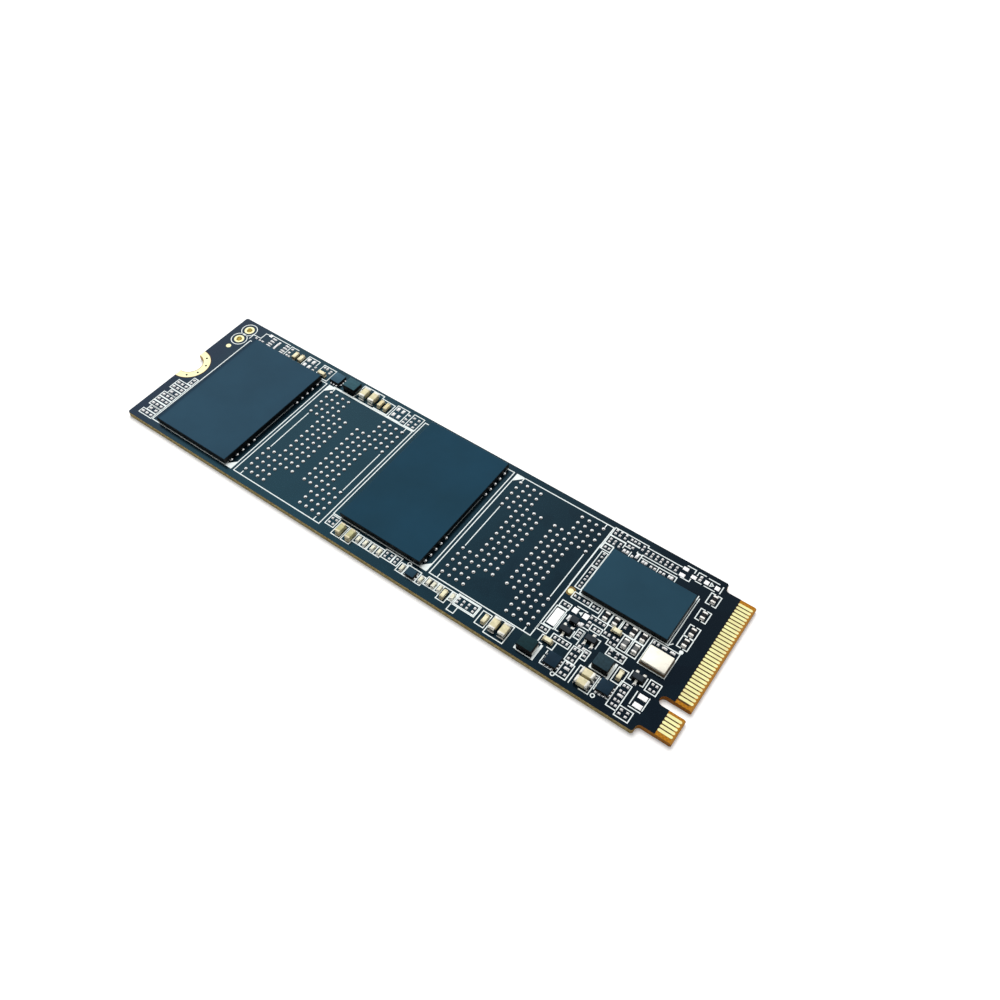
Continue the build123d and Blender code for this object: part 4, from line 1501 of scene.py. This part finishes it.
# The dense field between the controller and the near edge.
CONTROLLER_NEAR = Region(
    (
        (22.1, -1.08, 24.45, -0.2), (24.5, -1.08, 25.75, -0.2), (26.02, -1.66, 27.26, -0.15),
        (27.32, -1.66, 28.56, -0.15), (28.72, -1.66, 30.72, -0.15), (30.8, -1.66, 32.0, -0.15),
        (29.6, -3.65, 30.68, -1.75), (30.86, -3.65, 31.98, -1.75), (21.55, -2.72, 22.8, -1.9),
        (21.42, -5.72, 22.72, -2.86), (21.15, -6.68, 22.42, -5.86), (25.05, -5.25, 25.8, -4.0),
        (25.98, -3.42, 27.3, -2.62), (27.0, -7.06, 27.68, -5.75), (23.08, -6.92, 25.4, -6.12),
        (25.72, -8.12, 26.95, -6.14), (25.92, -10.2, 27.16, -8.2), (29.02, -4.98, 31.2, -4.02),
        (31.12, -7.35, 32.3, -5.42), (34.66, -6.24, 36.0, -4.76), (32.16, -10.08, 33.42, -6.7),
        (33.42, -10.55, 35.1, -9.24), (32.42, -3.86, 35.74, -0.3),
        ((24.05, -8.0), (24.05, -6.92), (22.15, -6.92), (22.15, -8.0), (22.7, -8.0)),
        ((23.4, -8.0), (24.05, -8.0)), ((30.0, -10.2), (30.0, -7.7), (27.58, -7.7), (27.58, -10.2)),
        ((28.9, -10.2), (30.0, -10.2)), ((30.2, -9.3), (30.2, -7.8)), ((23.4, -1.65), (24.7, -1.65)),
        ((25.3, -1.68), (27.4, -1.68), (27.4, -2.5)),
        ((27.5, -3.24), (28.4, -3.24), (28.4, -3.88), (29.55, -3.88)),
        ((22.9, -3.3), (22.9, -5.65), (23.3, -5.65)), ((24.45, -5.65), (24.85, -5.65), (24.85, -4.6)),
        ((25.3, -3.62), (26.0, -3.62)), ((27.3, -3.95), (27.82, -3.95), (27.82, -5.1)),
        ((25.85, -4.0), (25.85, -5.9)), ((32.55, -4.95), (32.55, -6.05), (32.85, -6.05)),
        ((34.35, -4.9), (34.35, -6.05), (34.0, -6.05)), ((34.16, -6.8), (34.16, -8.5)),
        ((35.68, -6.8), (35.68, -8.5)), ((34.2, -8.82), (35.6, -8.82)), ((23.75, -10.05), (25.35, -10.05)),
        ((23.72, -8.3), (23.72, -8.7)), ((23.72, -9.0), (23.72, -9.9)), ((31.3, -9.45), (32.0, -9.45)),
        ((21.1, -0.9), (21.1, -7.85)),
    ),
    (
        Pads((22.42, 22.95, 23.6, 24.1, 24.88, 25.4), (-0.65,)), Pads((29.15,), (-0.45, -0.92)),
        Pads((32.7, 33.2), (-0.62,), (0.28, 0.4)), Pads((34.0, 35.0), (-0.62,), (0.62, 0.32)),
        Pads((22.05, 22.55), (-2.25,)), Pads((22.1,), (-4.25,), (1.0, 2.3)),
        Pads((23.45, 24.85), (-2.25,), (0.66, 0.72)), Pads((23.35,), (-3.45,), (0.36, 0.75)),
        Pads((25.0,), (-3.45,), (0.4, 0.6)), Pads((25.45, 26.0, 26.55, 27.08), (-2.02,)),
        Pads((25.6,), (-2.65, -3.12), (0.4, 0.3)), Pads((26.48, 26.98), (-3.05,), (0.32, 0.38)),
        Pads((27.68, 28.18, 28.78, 29.28), (-2.75,), (0.28, 0.38)), Pads((28.78, 29.28), (-3.48,)),
        Pads((25.42,), (-4.4, -4.8), (0.42, 0.24)), Pads((27.32,), (-6.08, -6.58), (0.4, 0.26)),
        Pads((26.25, 26.8), (-5.85,), (0.36, 0.36)), Pads((26.05, 26.55), (-6.42, -7.15, -7.78)),
        Pads((26.3, 26.82), (-8.35, -9.72), (0.3, 0.34)), Pads((26.58,), (-8.95,), (0.66, 0.34)),
        Pads((21.6, 22.08), (-6.28,)), Pads((23.48, 24.0, 24.5, 25.02), (-6.48,), (0.28, 0.36)),
        Pads((29.4, 30.2, 30.85), (-4.25, -4.75), (0.34, 0.24)), Pads((35.1, 35.6), (-5.15, -5.85)),
        Pads((29.78,), (-8.05, -8.65, -9.2), (0.24, 0.24)), Pads((32.66, 33.1), (-7.02, -7.78, -8.98, -9.6)),
        Pads((32.9,), (-8.3,), (0.66, 0.32)), Pads((35.0,), (-7.1, -8.25), (1.04, 0.6)),
        Pads((33.85, 34.6), (-9.6, -10.1), (0.34, 0.26)), Pads((30.55, 31.05), (-9.45,), (0.26, 0.3)),
    ),
)


@dataclass
class UnfittedPlaces:
    """Tinned pads and printed frames of the parts that this version of the board leaves out."""

    regions: tuple[Region, ...] = (MOUNT_END, FAR_STRIP, NEAR_STRIP, CONTROLLER_FAR, CONTROLLER_NEAR)
    line_width: float = 0.12
    pad_height: float = 0.15
    wide_pad: float = 0.5
    wide_pad_height: float = 0.03

    def build(self) -> None:
        """Builds all bare pads as one piece and all small printed lines as another."""
        shapes = []
        for pads in (pads for region in self.regions for pads in region.pads):
            rise = self.wide_pad_height if min(pads.size) >= self.wide_pad else self.pad_height
            shapes.append(pillow(*pads.size, rise).copies(pads.places()))
        make_piece("bare_tinned_pads", Surface.joined(*shapes), PAD_TIN, smooth=ROUND_SHADING)
        lines = [line for region in self.regions for shape in region.prints for line in strokes(shape)]
        make_piece("small_print", printed_lines(lines, self.line_width), PRINT_INK)


@dataclass
class PartPrint:
    """Thick printed bars and small rings that mark single parts."""

    thick_bars: tuple[Line, ...] = ((22.86, -8.25, 22.86, -10.15), (30.74, -5.45, 30.74, -7.35))
    thick_width: float = 0.3
    bars: tuple[Line, ...] = (
        (21.35, 8.97, 23.35, 8.97), (23.45, 9.34, 25.0, 9.34), (21.35, 7.62, 22.45, 7.62),
    )
    bar_width: float = 0.2
    pointers: tuple[tuple[Point, ...], ...] = (
        ((23.88, -2.25), (24.34, -2.52), (24.34, -2.25), (24.34, -1.98)),
        ((20.4, -9.72), (20.4, -10.0), (20.4, -10.2), (20.8, -10.2)),
        ((28.36, -6.9), (28.36, -7.2), (28.36, -7.4), (28.76, -7.4)),
    )
    corners: tuple[Line, ...] = ((20.8, -10.2, 22.7, -10.2), (28.7, -7.35, 30.5, -7.35))
    corner_width: float = 0.12
    rings: tuple[Place, ...] = ((25.65, -10.35, 0), (30.5, -10.0, 0), (4.5, -8.25, 0))
    ring_radius: float = 0.22
    ring_width: float = 0.12

    def build(self) -> None:
        """Builds the inductor bars, their corner marks and the first-land rings."""
        marks = Surface.joined(
            printed_lines(self.thick_bars, self.thick_width),
            printed_lines(self.bars, self.bar_width, THICK_INK_RISE),
            raised(np.array(self.pointers), THICK_INK_RISE),
            printed_lines(self.corners, self.corner_width),
            printed_ring(self.ring_radius, self.ring_width, columns=20).copies(self.rings),
        )
        make_piece("part_marks", marks, PRINT_INK)


@dataclass
class Stage:
    """White floor, soft studio light and the camera of the photograph."""

    floor_reach: float = 2.0
    floor_level: float = -0.012
    card_radius: float = 200.0
    card_half: float = 300.0
    card_arc: Point = (24, 82)
    card_away: Point = (0.56, -0.83)
    card_right: Point = (0.817, 0.576)
    lens: float = 34.676
    sensor: float = 36
    eye: Place = (47.399, -53.4, 94.327)
    aim: Place = (37.2317, -0.8751, 35.1911)
    key_power: float = 2.6
    key_place: Place = (-0.12, 0.16, 0.44)
    key_side: float = 0.34
    softbox_power: float = 0.12
    softbox_place: Place = (-0.28, 0.19, 0.3)
    softbox_side: float = 0.4
    world_level: float = 0.22

    def build(self) -> None:
        """Sets the floor, the light, the view and the camera."""
        self.floor()
        self.world()
        self.lamp("left_softbox", self.softbox_place, self.softbox_side, self.softbox_power)
        key = self.lamp("overhead_key", self.key_place, self.key_side, self.key_power)
        key.visible_glossy = False
        self.card()
        self.camera()
        bpy.context.scene.view_settings.view_transform = "Standard"

    def floor(self) -> None:
        """A flat grid just under the board, from minus to plus the reach in X and Y."""
        side = np.linspace(-self.floor_reach, self.floor_reach, 3) / MM
        y, x = np.meshgrid(side, side, indexing="ij")
        self.plain_sheet("floor", np.stack([x, y, np.full(x.shape, self.floor_level)], -1), FLOOR)

    def card(self) -> None:
        """A dark card bent over the camera, out of the picture, that gives metal and gloss a dark side.

        It is an arc carried sideways: away R cos a + up R sin a + right u, from the camera's side almost to
        the top.
        """
        arc = np.radians(np.linspace(*self.card_arc, 10))
        a, u = np.meshgrid(arc, np.linspace(-1, 1, 3), indexing="ij")
        away, right = np.array(self.card_away) * self.card_radius, np.array(self.card_right) * self.card_half
        plan = np.cos(a)[..., None] * away + u[..., None] * right
        grid = np.concatenate([plan, (self.card_radius * np.sin(a))[..., None]], -1)
        sheet = self.plain_sheet("dark_card", grid, CARD)
        sheet.visible_camera = False
        sheet.visible_shadow = False
        sheet.visible_diffuse = False

    @staticmethod
    def plain_sheet(name: str, grid: Array, finish: Finish) -> bpy.types.Object:
        """Makes a plain stage sheet.

        Args:
            name: name of the sheet.
            grid: its points in millimetres, as an array of rows, columns and 3.
            finish: its finish.

        Returns:
            The new object.
        """
        mesh = bpy.data.meshes.new(name)
        surface = Surface.sheet(grid * MM)
        mesh.from_pydata(surface.points.tolist(), [], surface.faces.tolist())
        mesh.materials.append(finish.material())
        sheet = bpy.data.objects.new(name, mesh)
        bpy.context.scene.collection.objects.link(sheet)
        return sheet

    def world(self) -> None:
        """Even light all round, which the lens and polished metal see as white."""
        world = bpy.data.worlds.new("studio")
        world.use_nodes = True
        graph = Graph(world.node_tree)
        inputs = graph.nodes["Background"].inputs
        graph.feed(inputs["Color"], (1, 1, 1, 1))
        graph.feed(inputs["Strength"], graph.between(graph.seen(), 0, 1, self.world_level, 1.0))
        bpy.context.scene.world = world

    @staticmethod
    def lamp(name: str, place: Place, side: float, power: float) -> bpy.types.Object:
        """Hangs a square soft lamp that looks at the middle of the board.

        Args:
            name: name of the lamp.
            place: where it hangs, in metres.
            side: its side in metres.
            power: its power in watts.

        Returns:
            The new lamp.
        """
        light = bpy.data.lights.new(name, "AREA")
        light.shape = "SQUARE"
        light.size = side
        light.energy = power
        lamp = bpy.data.objects.new(name, light)
        lamp.location = place
        flat = math.hypot(place[0], place[1])
        lamp.rotation_euler = (math.atan2(flat, place[2]), 0, math.atan2(place[0], -place[1]))
        bpy.context.scene.collection.objects.link(lamp)
        return lamp

    def camera(self) -> None:
        """Stands the camera where the photograph was taken from."""
        camera = bpy.data.cameras.new("camera")
        camera.lens = self.lens
        camera.sensor_width = self.sensor
        camera.clip_start = 0.01
        holder = bpy.data.objects.new("camera", camera)
        holder.location = tuple(part * MM for part in self.eye)
        holder.rotation_euler = tuple(math.radians(angle) for angle in self.aim)
        bpy.context.scene.collection.objects.link(holder)
        bpy.context.scene.camera = holder


def main() -> None:
    """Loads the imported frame, builds each sub-assembly on it and sets the stage."""
    logging.basicConfig(level=logging.INFO, format="%(message)s")
    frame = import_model()
    nodes = frame["nodes"]
    Board(nodes).build()
    FlashSite(nodes, "flash_1", (-29.35, -1.0), Corner.NEAR_RIGHT, LIT_PACKAGE).build()
    FlashSite(nodes, "open_site_1", (-14.85, -1.0), Corner.FAR_LEFT).build()
    FlashSite(nodes, "flash_2", (-0.35, 1.17), Corner.NEAR_RIGHT, SHADED_PACKAGE).build()
    FlashSite(nodes, "open_site_2", (14.15, 1.17), Corner.FAR_LEFT).build()
    Controller(nodes).build()
    TwoEndedChips(nodes, "large_capacitor", CAP, Slot.CAP, edge=0.08).build()
    TwoEndedChips(nodes, "medium_capacitor", OLIVE, Slot.CAP, DULL_TIN).build()
    TwoEndedChips(nodes, "small_capacitor", TAN, Slot.CAP, DULL_TIN).build()
    TwoEndedChips(nodes, "pale_capacitor", PALE, Slot.PALE).build()
    TwoEndedChips(nodes, "resistor", FILM, Slot.FILM, MATT_TIN, edge=0.04).build()
    TwoEndedChips(nodes, "ferrite_bead", FERRITE, Slot.FERRITE, MATT_TIN).build()
    for number, core, mould in ((1, PALE_CORE, PALE_CHIP), (2, DARK_CORE, CHIP), (3, CORE, CHIP)):
        Inductor(nodes, number, core).build()
        LeadlessChip(nodes, f"converter_{number}", mould).build()
    LeadlessChip(nodes, "load_switch", SWITCH_CHIP).build()
    LeadlessChip(nodes, "diode", TRANSISTOR, land=(0.46, 0.72), land_height=0.14).build()
    for number, turn in ((1, 0), (2, 180), (3, 0)):
        Transistor(number, turn).build()
    Crystal().build()
    UnfittedPlaces().build()
    PartPrint().build()
    Stage().build()


if __name__ == "__main__":
    main()
